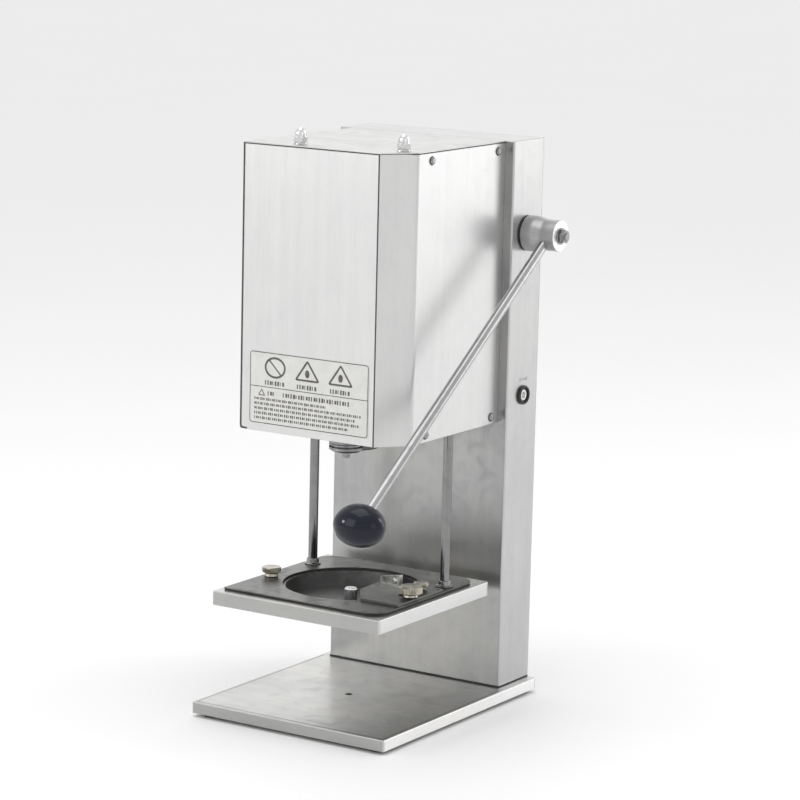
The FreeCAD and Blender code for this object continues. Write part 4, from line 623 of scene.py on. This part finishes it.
def make_dome_nuts():
    """Two chrome dome nuts on washers, on the lid."""
    low, high = mm_box("acorn_nuts")
    washer_radius, washer_top = 7.2, 1.2
    flats = 12.6
    dome_radius, dome_foot, dome_rise = 5.9, 10.2, 7.2
    washer = [(0, 0), (washer_radius, 0), (washer_radius, washer_top), (0, washer_top)]
    body = [(0, 1.3), (6.4, 1.3), (7.3, 1.8), (7.3, 7.0), (6.4, 7.6), (dome_radius, 7.7)]
    dome = [(dome_radius, 7.7), (dome_radius, dome_foot)]
    dome += [
        (dome_radius * math.cos(turn), dome_foot + dome_rise * math.sin(turn))
        for turn in arc(0.12, math.pi / 2, 12)
    ]
    dome[-1] = (0, dome[-1][1])
    spots = (
        (low.x + washer_radius, low.y + washer_radius),
        (high.x - washer_radius, high.y - washer_radius),
    )
    work = bmesh.new()
    for number, (x, y) in enumerate(spots):
        turned = Matrix.Rotation(0.3 + number, 4, "Z")
        place = facing(Vector((x, y, low.z)) * MM) @ turned
        lathe(work, rounded(washer, 0.3, 3, False), place, segments=48)
        lathe(work, body, place, hexagon(flats))
        lathe(work, dome, place)
    finished("dome_nuts", work, stands_for="acorn_nuts")


# ---------------------------------------------------------------- sheets

def make_column():
    """The column, whose front web gets a darker copy of its steel as painted shade under the head, and the
    dark joint at its foot.
    """
    column = softened("column_shell", "column_sheet", 0.3, 2)
    # painted shade: the front web is darkened as if in the head's shade
    paint_light_and_shade_by_facing(column, "column_web_steel", FRONT)
    low, high = mm_box("column_shell")
    inset, proud, line = 2, 0.05, 0.3
    foot_line = stroke([(low.x + inset, low.y - proud), (high.x - inset, low.y - proud)], line)
    work = bmesh.new()
    extruded(work, foot_line, in_plan(), low.z - 0.9, low.z + 0.5)
    finished("column_foot_joint", work, material="joint_shadow", rides="frame")


def make_head_sheets():
    """The head's panels with their soft folds, and the dark joints by the lid and the front panel."""
    low, high = mm_box("right_panel")
    front_low, front_high = mm_box("front_panel")
    lid_low = mm_box("lid")[0]
    chamfer_deep = 31.7
    fold_radius, sheet_gauge = 9, 1.2
    fold = [(low.x + 0.6, low.y), (high.x, low.y + chamfer_deep), (high.x, high.y)]
    work = bmesh.new()
    extruded(work, bent(fold, fold_radius, sheet_gauge), in_plan(), low.z, high.z)
    soften(finished("right_panel_sheet", work, stands_for="right_panel"), 0.35, 2, 60)
    softened("front_panel", "front_panel_sheet", 0.5)
    softened("left_panel", "left_panel_sheet", 0.4)
    softened("lid", "lid_sheet", 0.3, 2)
    softened("column_back_cover", "back_cover_sheet", 0.4)

    proud = 0.12
    run = [
        (front_low.x, low.y - proud),
        (low.x, low.y - proud),
        (high.x + 0.1, low.y + chamfer_deep),
        (high.x + 0.1, high.y),
    ]
    work = bmesh.new()
    extruded(work, bent(run, 0.5, 0.4), in_plan(), lid_low.z - 1.1, lid_low.z + 0.05)
    finished("lid_joint_line", work, material="joint_shadow", rides="frame")

    proud, sunk = 0.25, 0.5
    left, bottom, top = front_low.x + 0.2, front_low.z + 0.3, high.z
    right = front_high.x
    place = front_face((0, front_low.y - proud, 0))
    work = bmesh.new()
    run = rounded([(left, top), (left, bottom), (left + 9, bottom)], 6, 8, False)
    extruded(work, stroke(run, 1.9), place, -sunk, 0)
    extruded(work, rectangle(right - 0.5, right + 0.9, bottom, top), place, -sunk, 0)
    finished("front_joint_lines", work, material="joint_shadow", rides="frame")


def make_pans():
    """The base and tray pans, whose folded flanges are brushed along their own length, with a darker copy of
    the steel on the front flanges as painted shade and lighter copies on the side flanges as painted light.
    """
    pans = (
        ("base_plate", "base_pan_sheet", "base_flange_steel"),
        ("tray_rim", "tray_pan_sheet", "side_flange_steel"),
    )
    for node, name, flank in pans:
        pan = softened(node, name, 0.2, 2)
        # painted shade on the front flanges
        paint_light_and_shade_by_facing(pan, "front_flange_steel", FRONT)
        # painted light on both side flanges
        paint_light_and_shade_by_facing(pan, flank, RIGHT)
        paint_light_and_shade_by_facing(pan, flank, LEFT)


def make_pan_seams():
    """The seam line on the base's top, and the seams at both pans' folded corners."""
    low, high = mm_box("base_plate")
    column_front = mm_box("column_shell")[0].y
    inset, line = 3.6, 0.75
    edge = [
        (low.x + inset, column_front - 2),
        (low.x + inset, low.y + inset),
        (high.x - inset, low.y + inset),
        (high.x - inset, column_front - 2),
    ]
    work = bmesh.new()
    extruded(work, stroke(rounded(edge, 1.5, 4, False), line), in_plan(high.z), -0.2, 0.05)
    finished("base_seam_line", work, material="joint_shadow", rides="frame")

    from_corner = 2.7
    seams = (
        ("base_corner_seams", "base_plate", "frame"),
        ("tray_corner_seams", "tray_rim", "lift"),
    )
    for name, node, rides in seams:
        low, high = mm_box(node)
        seam = rectangle(-0.2, 0.2, low.z + 0.3, high.z - 1.6)
        work = bmesh.new()
        for wall, side in ((low.x, -1), (high.x, 1)):
            for y in (low.y + from_corner, high.y - from_corner):
                extruded(work, seam, side_face((wall, y, 0), side), -0.1, 0.04)
        finished(name, work, material="joint_shadow", rides=rides)


def make_feet():
    """Four rubber feet with screw sockets in their undersides."""
    low, high = mm_box("rubber_feet")
    tall = high.z - low.z
    radius, bore, socket, socket_top = 10, 2.2, 5.5, 6
    skirt = [(socket, socket_top), (socket, 0), (radius, 0), (radius, tall)]
    profile = [(bore, tall), (bore, socket_top)] + rounded(skirt, 1.4, 4, False)
    work = bmesh.new()
    for x in (low.x + radius, high.x - radius):
        for y in (low.y + radius, high.y - radius):
            lathe(work, profile, facing(Vector((x, y, low.z)) * MM), segments=48)
    finished("foot_pads", work, stands_for="rubber_feet")


# ---------------------------------------------------------------- label

class Print:
    """Ink on a film: raised lines, bars and shapes in one mesh."""

    def __init__(self, place, film):
        self.work = bmesh.new()
        self.place = place
        self.levels = film, film + 0.06

    def shape(self, outline, turned=None):
        place = self.place @ turned if turned else self.place
        extruded(self.work, outline, place, *self.levels)

    def bar(self, left, right, level, height):
        self.shape(rectangle(left, right, level, level + height))

    def ring(self, outline, line, radius=0.0):
        """A printed line of constant width just inside an outline."""
        centre = sum((Vector(point) for point in outline), Vector((0, 0))) / len(outline)
        outer = rounded(outline, radius, 5) if radius else [Vector(point) for point in outline]
        inner = []
        for number, point in enumerate(outer):
            run = (outer[(number + 1) % len(outer)] - outer[number - 1]).normalized()
            side = Vector((-run.y, run.x))
            if side.dot(centre - point) < 0:
                side = -side
            inner.append(point + side * line)
        ringed(self.work, outer, inner, self.place, *self.levels)

    def marks(self, left, right, level, height, step):
        """A row of short bars of uneven width and height, in place of lettering."""
        at, count = left, 0
        while at + step < right:
            length = step * (0.58 + 0.22 * math.sin(count * 2.3 + level))
            drop = height * 0.12 * (1 + math.sin(count * 1.7 + level))
            self.bar(at, at + length, level + drop / 2, height - drop)
            at += step
            count += 1


def make_label():
    """The front label: a film with a border, three plain signs and rows of bars for its print."""
    low, high = mm_box("front_label")
    wide, tall = high.x - low.x, high.z - low.z
    film = high.y - low.y
    place = front_face((low.x, high.y, low.z))
    work = bmesh.new()
    extruded(work, rounded(rectangle(0, wide, 0, tall), 4, 6), place, 0, film)
    finished("label_sheet", work, stands_for="front_label")

    ink = Print(place, film)
    edge, divider = 0.5, 38.8
    ink.ring(rectangle(edge, wide - edge, edge, tall - edge), 0.9, 3.6)
    ink.bar(edge + 0.2, wide - edge - 0.2, divider, 0.8)

    sign_centres = (32, 72, 113)
    ban, *warnings = sign_centres
    ban_level, ban_half_wide, ban_half_tall, ban_line = 60.3, 13.2, 11.2, 2.3
    round_turn, short_of_full = arc(0, 2 * math.pi, 40)[:-1], 6.2
    ink.ring(oval(ban, ban_level, ban_half_wide, ban_half_tall, round_turn), ban_line)
    slash_reach, slash_half = 10.8, 0.85
    slash = Matrix.Translation(Vector((ban, ban_level, 0)) * MM) @ Matrix.Rotation(-math.pi / 4, 4, "Z")
    ink.shape(rectangle(-slash_reach, slash_reach, -slash_half, slash_half), slash)
    half_sign, sign_foot, sign_top, sign_line, sign_corner = 16, 50.2, 73.0, 2.1, 2.2
    for centre in warnings:
        triangle = [(centre - half_sign, sign_foot), (centre + half_sign, sign_foot), (centre, sign_top)]
        ink.ring(triangle, sign_line, sign_corner)
        ink.shape(oval(centre, 58.2, 2.8, 4.2, arc(0, short_of_full, 16)))
    for centre in sign_centres:
        ink.marks(centre - 12.6, centre + 13, 41.4, 5.0, 3.1)

    heading, heading_height = 30.4, 4.9
    ink.ring([(11, 29.8), (20, 29.8), (15.5, 37.2)], 1.0, 0.8)
    ink.marks(23, 34, heading, heading_height, 3.1)
    ink.marks(42, wide - 22, heading, heading_height, 3.2)
    margin, first_row, row_step = 6.5, 24.8, 5.0
    for row, indent in enumerate((44, 0, 9, 4, 16)):
        ink.marks(margin, wide - indent - 6, first_row - row * row_step, 3.0, 2.5)
    finished("label_print", ink.work, material="label_ink", rides="frame")


# ---------------------------------------------------------------- lever

def make_lever():
    """The tapered hub, the rod, and the egg-shaped knob on its end."""
    low, high = mm_box("lever_hub")
    shaft, knob = mm_middle("lever_hub"), mm_middle("lever_knob")
    length = high.x - low.x
    foot = Vector((knob.x, shaft.y, shaft.z))
    along, reach = (knob - foot).normalized(), (knob - foot).length
    rod_place = facing(foot * MM, along)

    shaft_bore, stud_bore, wall = 10.1, 4.2, 3
    flank = rounded([(19, 0.9), (19, 11.5), (16.6, 22.5), (16.6, length - 1)], 16, 8, False)
    profile = [(shaft_bore, 0), (18.1, 0), (18.7, 0.3)] + flank
    profile += [
        (16.3, length - 0.3),
        (15.6, length),
        (stud_bore, length),
        (stud_bore, length - wall),
        (shaft_bore, length - wall - 1),
        (shaft_bore, 0),
    ]
    work = bmesh.new()
    lathe(work, profile, facing(Vector((low.x, shaft.y, shaft.z)) * MM, RIGHT))
    hub = finished("lever_hub_body", work, stands_for="lever_hub")
    socket_radius, socket_low, socket_high = 6.3, 10, 30
    socket = [(0, socket_low), (socket_radius, socket_low), (socket_radius, socket_high), (0, socket_high)]
    tool = bmesh.new()
    lathe(tool, socket, rod_place, segments=48)
    carve(hub, tool)
    # painted light: the hub's right-facing end face gets the near-white copy
    paint_light_and_shade_by_facing(hub, "bright_face", RIGHT, 0.7)

    rod_radius, rod_low, rod_high = 5.3, 11, reach - 5
    bar = [(0, rod_low), (rod_radius, rod_low), (rod_radius, rod_high), (0, rod_high)]
    work = bmesh.new()
    lathe(work, rounded(bar, 0.6, 3, False), rod_place, segments=72)
    finished("lever_rod_bar", work, stands_for="lever_rod")

    low, high = mm_box("lever_knob")
    half_long, half_round = (high.x - low.x) / 2, (high.y - low.y) / 2
    profile = [(half_round * math.sin(turn), -half_long * math.cos(turn)) for turn in arc(0, math.pi, 56)]
    profile[0], profile[-1] = (0, -half_long), (0, half_long)
    work = bmesh.new()
    lathe(work, profile, facing(knob * MM, RIGHT), segments=128)
    egg = finished("lever_knob_egg", work, stands_for="lever_knob")
    bore, bore_low, bore_high = 5.75, reach - 40, reach - 4
    tool = bmesh.new()
    lathe(tool, [(0, bore_low), (bore, bore_low), (bore, bore_high), (0, bore_high)], rod_place, segments=48)
    carve(egg, tool)


def make_hub_nut():
    """A washer, a hexagon nut and the threaded end of the stud, on the hub's outer face."""
    low = mm_box("hub_nut")[0]
    middle = mm_middle("hub_nut")
    turned = Matrix.Rotation(0.2, 4, "Z")
    place = facing(Vector((low.x, middle.y, middle.z)) * MM, RIGHT) @ turned
    bore, stud_foot, stud_top = 4.1, 6.2, 8.3
    washer = [(bore, 0), (8.7, 0), (9, 0.3), (9, 0.9), (8.7, 1.2), (bore, 1.2)]
    nut = [(bore, 1.25), (6.9, 1.25), (7.5, 1.7), (7.5, 6.3), (6.7, 6.8), (4.6, 6.8), (bore, 6.4)]
    thread = [(4.0 + 0.25 * (step % 2), stud_foot + step * 0.3) for step in range(7)]
    work = bmesh.new()
    lathe(work, washer, place, segments=64)
    lathe(work, nut, place, hexagon(13))
    lathe(work, [(0, stud_foot)] + thread + [(3.6, stud_top), (0, stud_top)], place, segments=48)
    finished("hub_nut_and_stud", work, stands_for="hub_nut")


# ---------------------------------------------------------------- inlet

def make_inlet():
    """The round power inlet: its bezel, its dark recess and the collar with the centre pin."""
    low = mm_box("inlet_ring")[0]
    middle = mm_middle("inlet_ring")
    place = facing(Vector((low.x, middle.y, middle.z)) * MM, RIGHT)
    bezel = [(7.9, -1), (7.9, 2.6), (8.6, 3.4), (9.6, 3.4), (10.4, 2.2), (10.4, 0.02)]
    work = bmesh.new()
    lathe(work, rounded(bezel, 0.6, 4, False), place, segments=72)
    finished("inlet_bezel", work, stands_for="inlet_ring")

    mouth, recess_floor = 6.4, -9
    lip = rounded([(7.8, -2), (7.8, 1.2), (6.9, 1.2), (mouth, 0.2)], 0.3, 3, False)
    work = bmesh.new()
    lathe(work, lip + [(mouth, recess_floor), (0, recess_floor)], place, segments=72)
    finished("inlet_recess", work, material="black_plastic", rides="frame")

    foot = -8
    collar = [(5.9, foot), (5.9, 1.5), (3.5, 1.5), (3.5, foot)]
    pin = [(0, 1.1), (0.8, 1.0), (1.25, 0.4), (1.25, foot)]
    work = bmesh.new()
    lathe(work, rounded(collar, 0.5, 4, False), place, segments=64)
    lathe(work, pin, place, segments=32)
    finished("inlet_collar", work, stands_for="inlet_socket")


def make_inlet_symbol():
    """The polarity mark over the inlet: a minus ring, a dot and a plus ring on one line."""
    low = mm_box("inlet_ring")[0]
    middle = mm_middle("inlet_ring")
    place = side_face((low.x, middle.y, middle.z + 17), 1)
    ink, half_line, gap = 0.05, 0.18, 0.2
    spread, outside, inside, arm, dot = 6, 1.9, 1.5, 0.9, 0.9
    round_turn, short_of_full = arc(0, 2 * math.pi, 28)[:-1], 6.1
    work = bmesh.new()
    for centre in (-spread, spread):
        outer = oval(centre, 0, outside, outside, round_turn)
        inner = oval(centre, 0, inside, inside, round_turn)
        ringed(work, outer, inner, place, 0, ink)
    bars = (
        (-spread - arm, -spread + arm, -half_line, half_line),
        (spread - arm, spread + arm, -half_line, half_line),
        (spread - gap, spread + gap, -arm, -gap),
        (spread - gap, spread + gap, gap, arm),
        (outside - spread, -2.3, -half_line, half_line),
        (dot, spread - outside, -half_line, half_line),
    )
    for bar in bars:
        extruded(work, rectangle(*bar), place, 0, ink)
    extruded(work, oval(0, 0, dot, dot, arc(0, short_of_full, 16)), place, 0, ink)
    finished("inlet_symbol", work, material="label_ink", rides="frame")


# ---------------------------------------------------------------- tray and lift

def make_rods():
    """The two guide rods, their collars on the inset plate and the nuts under the tray."""
    low, high = mm_box("guide_rods")
    middle = mm_middle("guide_rods")
    radius = (high.y - low.y) / 2
    spread = high.x - radius
    top = high.z - low.z
    chamfer = 0.8
    rod = [
        (0, 0),
        (radius - chamfer, 0),
        (radius, chamfer),
        (radius, top - chamfer),
        (radius - chamfer, top),
        (0, top),
    ]
    work = bmesh.new()
    for side in (-1, 1):
        lathe(work, rod, facing(Vector((side * spread, middle.y, low.z)) * MM), segments=72)
    finished("guide_rod_bars", work, stands_for="guide_rods")

    plate_top = mm_box("inset_plate")[1].z
    nut_foot = mm_box("rod_collars_and_nuts")[0].z
    bore, flats = 5.05, 16
    collar = [(bore, 0), (8.8, 0), (8.8, 1.3), (6.9, 2.0), (6.4, 6.5), (bore, 6.5)]
    nut = [(bore, 0), (8.4, 0), (9.2, 0.6), (9.2, 6.4), (8.4, 7), (bore, 7)]
    work = bmesh.new()
    for side in (-1, 1):
        collar_spot = Vector((side * spread, middle.y, plate_top))
        nut_spot = Vector((side * spread, middle.y, nut_foot))
        lathe(work, rounded(collar, 0.7, 5, False), facing(collar_spot * MM), segments=72)
        lathe(work, nut, facing(nut_spot * MM), hexagon(flats))
    finished("rod_collars_and_hex_nuts", work, stands_for="rod_collars_and_nuts")


def knurl(head, foot, top, teeth=44):
    """A shape for lathe that cuts a straight knurl into the rim of a screw's head."""
    depth, rim = 0.6, 0.35

    def limit(angle, radius, height):
        if radius > head - rim and foot < height < top:
            return radius - depth * (0.5 + 0.5 * math.cos(teeth * angle))
        return radius
    return limit


def make_thumb_screws():
    """Knurled heads on plain necks, each with a shallow dish in its top."""
    # each screw's neck radius, the height of its head's underside, and the plate it stands on
    screws = (
        ("left_thumb_screw", 7.4, 139.6, "inset_plate"),
        ("right_thumb_screw", 7.8, 141.6, "jaw_plate"),
        ("rear_thumb_screw", 5.2, 140.4, "jaw_plate"),
    )
    thread, gap, rim = 3, 0.2, 0.8
    for node, neck, head_foot, plate in screws:
        low, high = mm_box(node)
        middle = mm_middle(node)
        head = (high.x - low.x) / 2
        foot, top = head_foot - low.z, high.z - low.z
        neck_foot = mm_box(plate)[1].z + gap - low.z
        outline = [
            (neck, neck_foot + 0.6),
            (neck - 0.6, foot - 1.2),
            (neck, foot),
            (head - 1.0, foot),
            (head, foot + 0.9),
            (head, top - 0.9),
            (head - 1.0, top),
            (head * 0.72, top),
            (head * 0.62, top - 0.35),
        ]
        profile = [(0, 0), (thread, 0), (thread, neck_foot), (neck - 0.5, neck_foot)]
        profile += rounded(outline, 0.35, 3, False) + [(0, top - 0.35)]
        place = facing(Vector((middle.x, middle.y, low.z)) * MM)
        work = bmesh.new()
        lathe(work, profile, place, knurl(head, foot + rim, top - rim), 264)
        finished(node + "_knurled", work, stands_for=node)


def make_cup_post():
    """The chrome post with grooves down its side."""
    low, high = mm_box("cup_post")
    middle = mm_middle("cup_post")
    radius = (high.x - low.x) / 2
    top = high.z - low.z
    foot = radius - 1.3
    groove_count, groove_depth, groove_foot, groove_top = 12, 0.55, 5.6, top - 1.0
    outline = [(foot, 0), (foot, 5), (radius, 5.4), (radius, top - 1.2), (radius - 1.2, top), (0, top)]
    profile = rounded(outline, 0.4, 3, False)
    # rows of their own for the grooves, so that they start and end within a short height
    groove_rows = [(radius, height) for height in (5.8, 8, top - 3, top - 1.4)]
    joint = next(number for number, point in enumerate(profile) if point[1] > 6)

    def grooves(angle, reach, height):
        if reach > radius - 0.2 and groove_foot < height < groove_top:
            return reach - groove_depth * max(0.0, math.cos(groove_count * angle)) ** 0.6
        return reach

    place = facing(Vector((middle.x, middle.y, low.z)) * MM)
    work = bmesh.new()
    lathe(work, [(0, 0)] + profile[:joint] + groove_rows + profile[joint:], place, grooves, 192)
    finished("grooved_post", work, stands_for="cup_post")


def make_jaw():
    """The sliding jaw, the plate under it and the jaw's upright tab."""
    softened("jaw_plate", "jaw_sheet", 0.3, 2)
    softened("inset_plate", "inset_sheet", 0.25, 2)
    softened("jaw_block", "jaw_tab", 0.3, 2)


make_screws()
make_dome_nuts()
make_column()
make_head_sheets()
make_label()
make_pan_seams()
make_pans()
make_feet()
make_lever()
make_hub_nut()
make_inlet()
make_inlet_symbol()
make_rods()
make_thumb_screws()
make_cup_post()
make_jaw()


# ---------------------------------------------------------------- camera, lights and floor

def look_at(item, place, target, roll=0.0):
    """Puts a camera or light at a place and turns it to a target."""
    item.location = place
    turn = (Vector(target) - Vector(place)).to_track_quat("-Z", "Y")
    item.rotation_mode = "QUATERNION"
    item.rotation_quaternion = turn @ Matrix.Rotation(roll, 3, "Z").to_quaternion()


def make_camera():
    """The camera stands in front and to the right, a little higher than the machine."""
    azimuth = math.radians(32.472)
    elevation = math.radians(10.360)
    roll = math.radians(1.354)
    distance = 3.31064
    target = Vector((0.05028, -0.02702, 0.33657))
    back = Vector((
        math.sin(azimuth) * math.cos(elevation),
        -math.cos(azimuth) * math.cos(elevation),
        math.sin(elevation),
    ))
    data = bpy.data.cameras.new("camera")
    data.sensor_width = 36
    data.lens = 143.71
    camera = bpy.data.objects.new("camera", data)
    bpy.context.scene.collection.objects.link(camera)
    look_at(camera, target + back * distance, target, roll)
    bpy.context.scene.camera = camera


def soft_light(name, place, target, width, height, power):
    """An oblong area light that the camera doesn't see itself."""
    data = bpy.data.lights.new(name, "AREA")
    data.shape = "RECTANGLE"
    data.size = width
    data.size_y = height
    data.energy = power
    light = bpy.data.objects.new(name, data)
    light.visible_camera = False
    bpy.context.scene.collection.objects.link(light)
    look_at(light, place, target)


def add_glow(tree, background, direction, plain, bright):
    """Makes plain white surroundings a little brighter round one direction, as from a lit wall."""
    sky = tree.nodes.new("ShaderNodeTexCoord")
    toward = tree.nodes.new("ShaderNodeVectorMath")
    toward.operation = "DOT_PRODUCT"
    toward.inputs[1].default_value = direction.normalized()
    tree.links.new(sky.outputs["Generated"], toward.inputs[0])
    fade = tree.nodes.new("ShaderNodeMapRange")
    fade.interpolation_type = "SMOOTHSTEP"
    glow_edge, glow_middle = 0.72, 1.0
    fade.inputs["From Min"].default_value = glow_edge
    fade.inputs["From Max"].default_value = glow_middle
    fade.inputs["To Min"].default_value = plain
    fade.inputs["To Max"].default_value = bright
    tree.links.new(toward.outputs["Value"], fade.inputs["Value"])
    tree.links.new(fade.outputs["Result"], background.inputs["Strength"])


def make_floor():
    """A wide round sheet of pale paper, just under the feet."""
    radius, gap = 40, 0.02 * MM
    mesh = bpy.data.meshes.new("floor")
    work = bmesh.new()
    bmesh.ops.create_circle(work, cap_ends=True, segments=96, radius=radius)
    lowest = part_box("rubber_feet")[0].z
    bmesh.ops.translate(work, verts=work.verts, vec=(0, 0, lowest - gap))
    work.to_mesh(mesh)
    work.free()
    floor = bpy.data.objects.new("floor", mesh)
    bpy.context.scene.collection.objects.link(floor)
    made = Shader("floor_paper")
    made.set(
        base_color=made.mix(made.noise(0.4, detail=2), (0.93, 0.93, 0.93), (0.95, 0.95, 0.95)),
        roughness=made.ramp(made.noise(0.01), 0, 1, 0.7, 0.8),
    )
    mesh.materials.append(made.material)


def make_world():
    """Plain bright surroundings with a soft glow behind and to the left."""
    world = bpy.data.worlds.new("studio")
    bpy.context.scene.world = world
    world.use_nodes = True
    background = world.node_tree.nodes["Background"]
    background.inputs["Color"].default_value = (1, 1, 1, 1)
    add_glow(world.node_tree, background, Vector((-0.52, 0.82, 0.24)), 0.84, 1.25)
    bpy.context.scene.view_settings.view_transform = "Standard"


def make_lights():
    """Four soft boxes round the machine, and two small lights for the knob's highlights."""
    middle = (0, 0, 0.35)
    soft_light("front_left_box", (-1.1, -2.7, 1.25), middle, 1.6, 1.7, 10)
    soft_light("back_right_box", (1.9, 2.2, 1.0), middle, 1.6, 1.8, 12)
    soft_light("right_box", (3.0, -1.3, 1.0), middle, 1.2, 1.4, 2.8)
    soft_light("top_box", (-0.2, -0.3, 2.3), middle, 1.6, 1.6, 9)
    soft_light("left_spark", (-1.80, -1.64, 0.90), middle, 0.3, 0.3, 6)
    soft_light("right_spark", (1.59, 1.36, 1.52), middle, 0.3, 0.7, 4)


make_camera()
make_floor()
make_world()
make_lights()
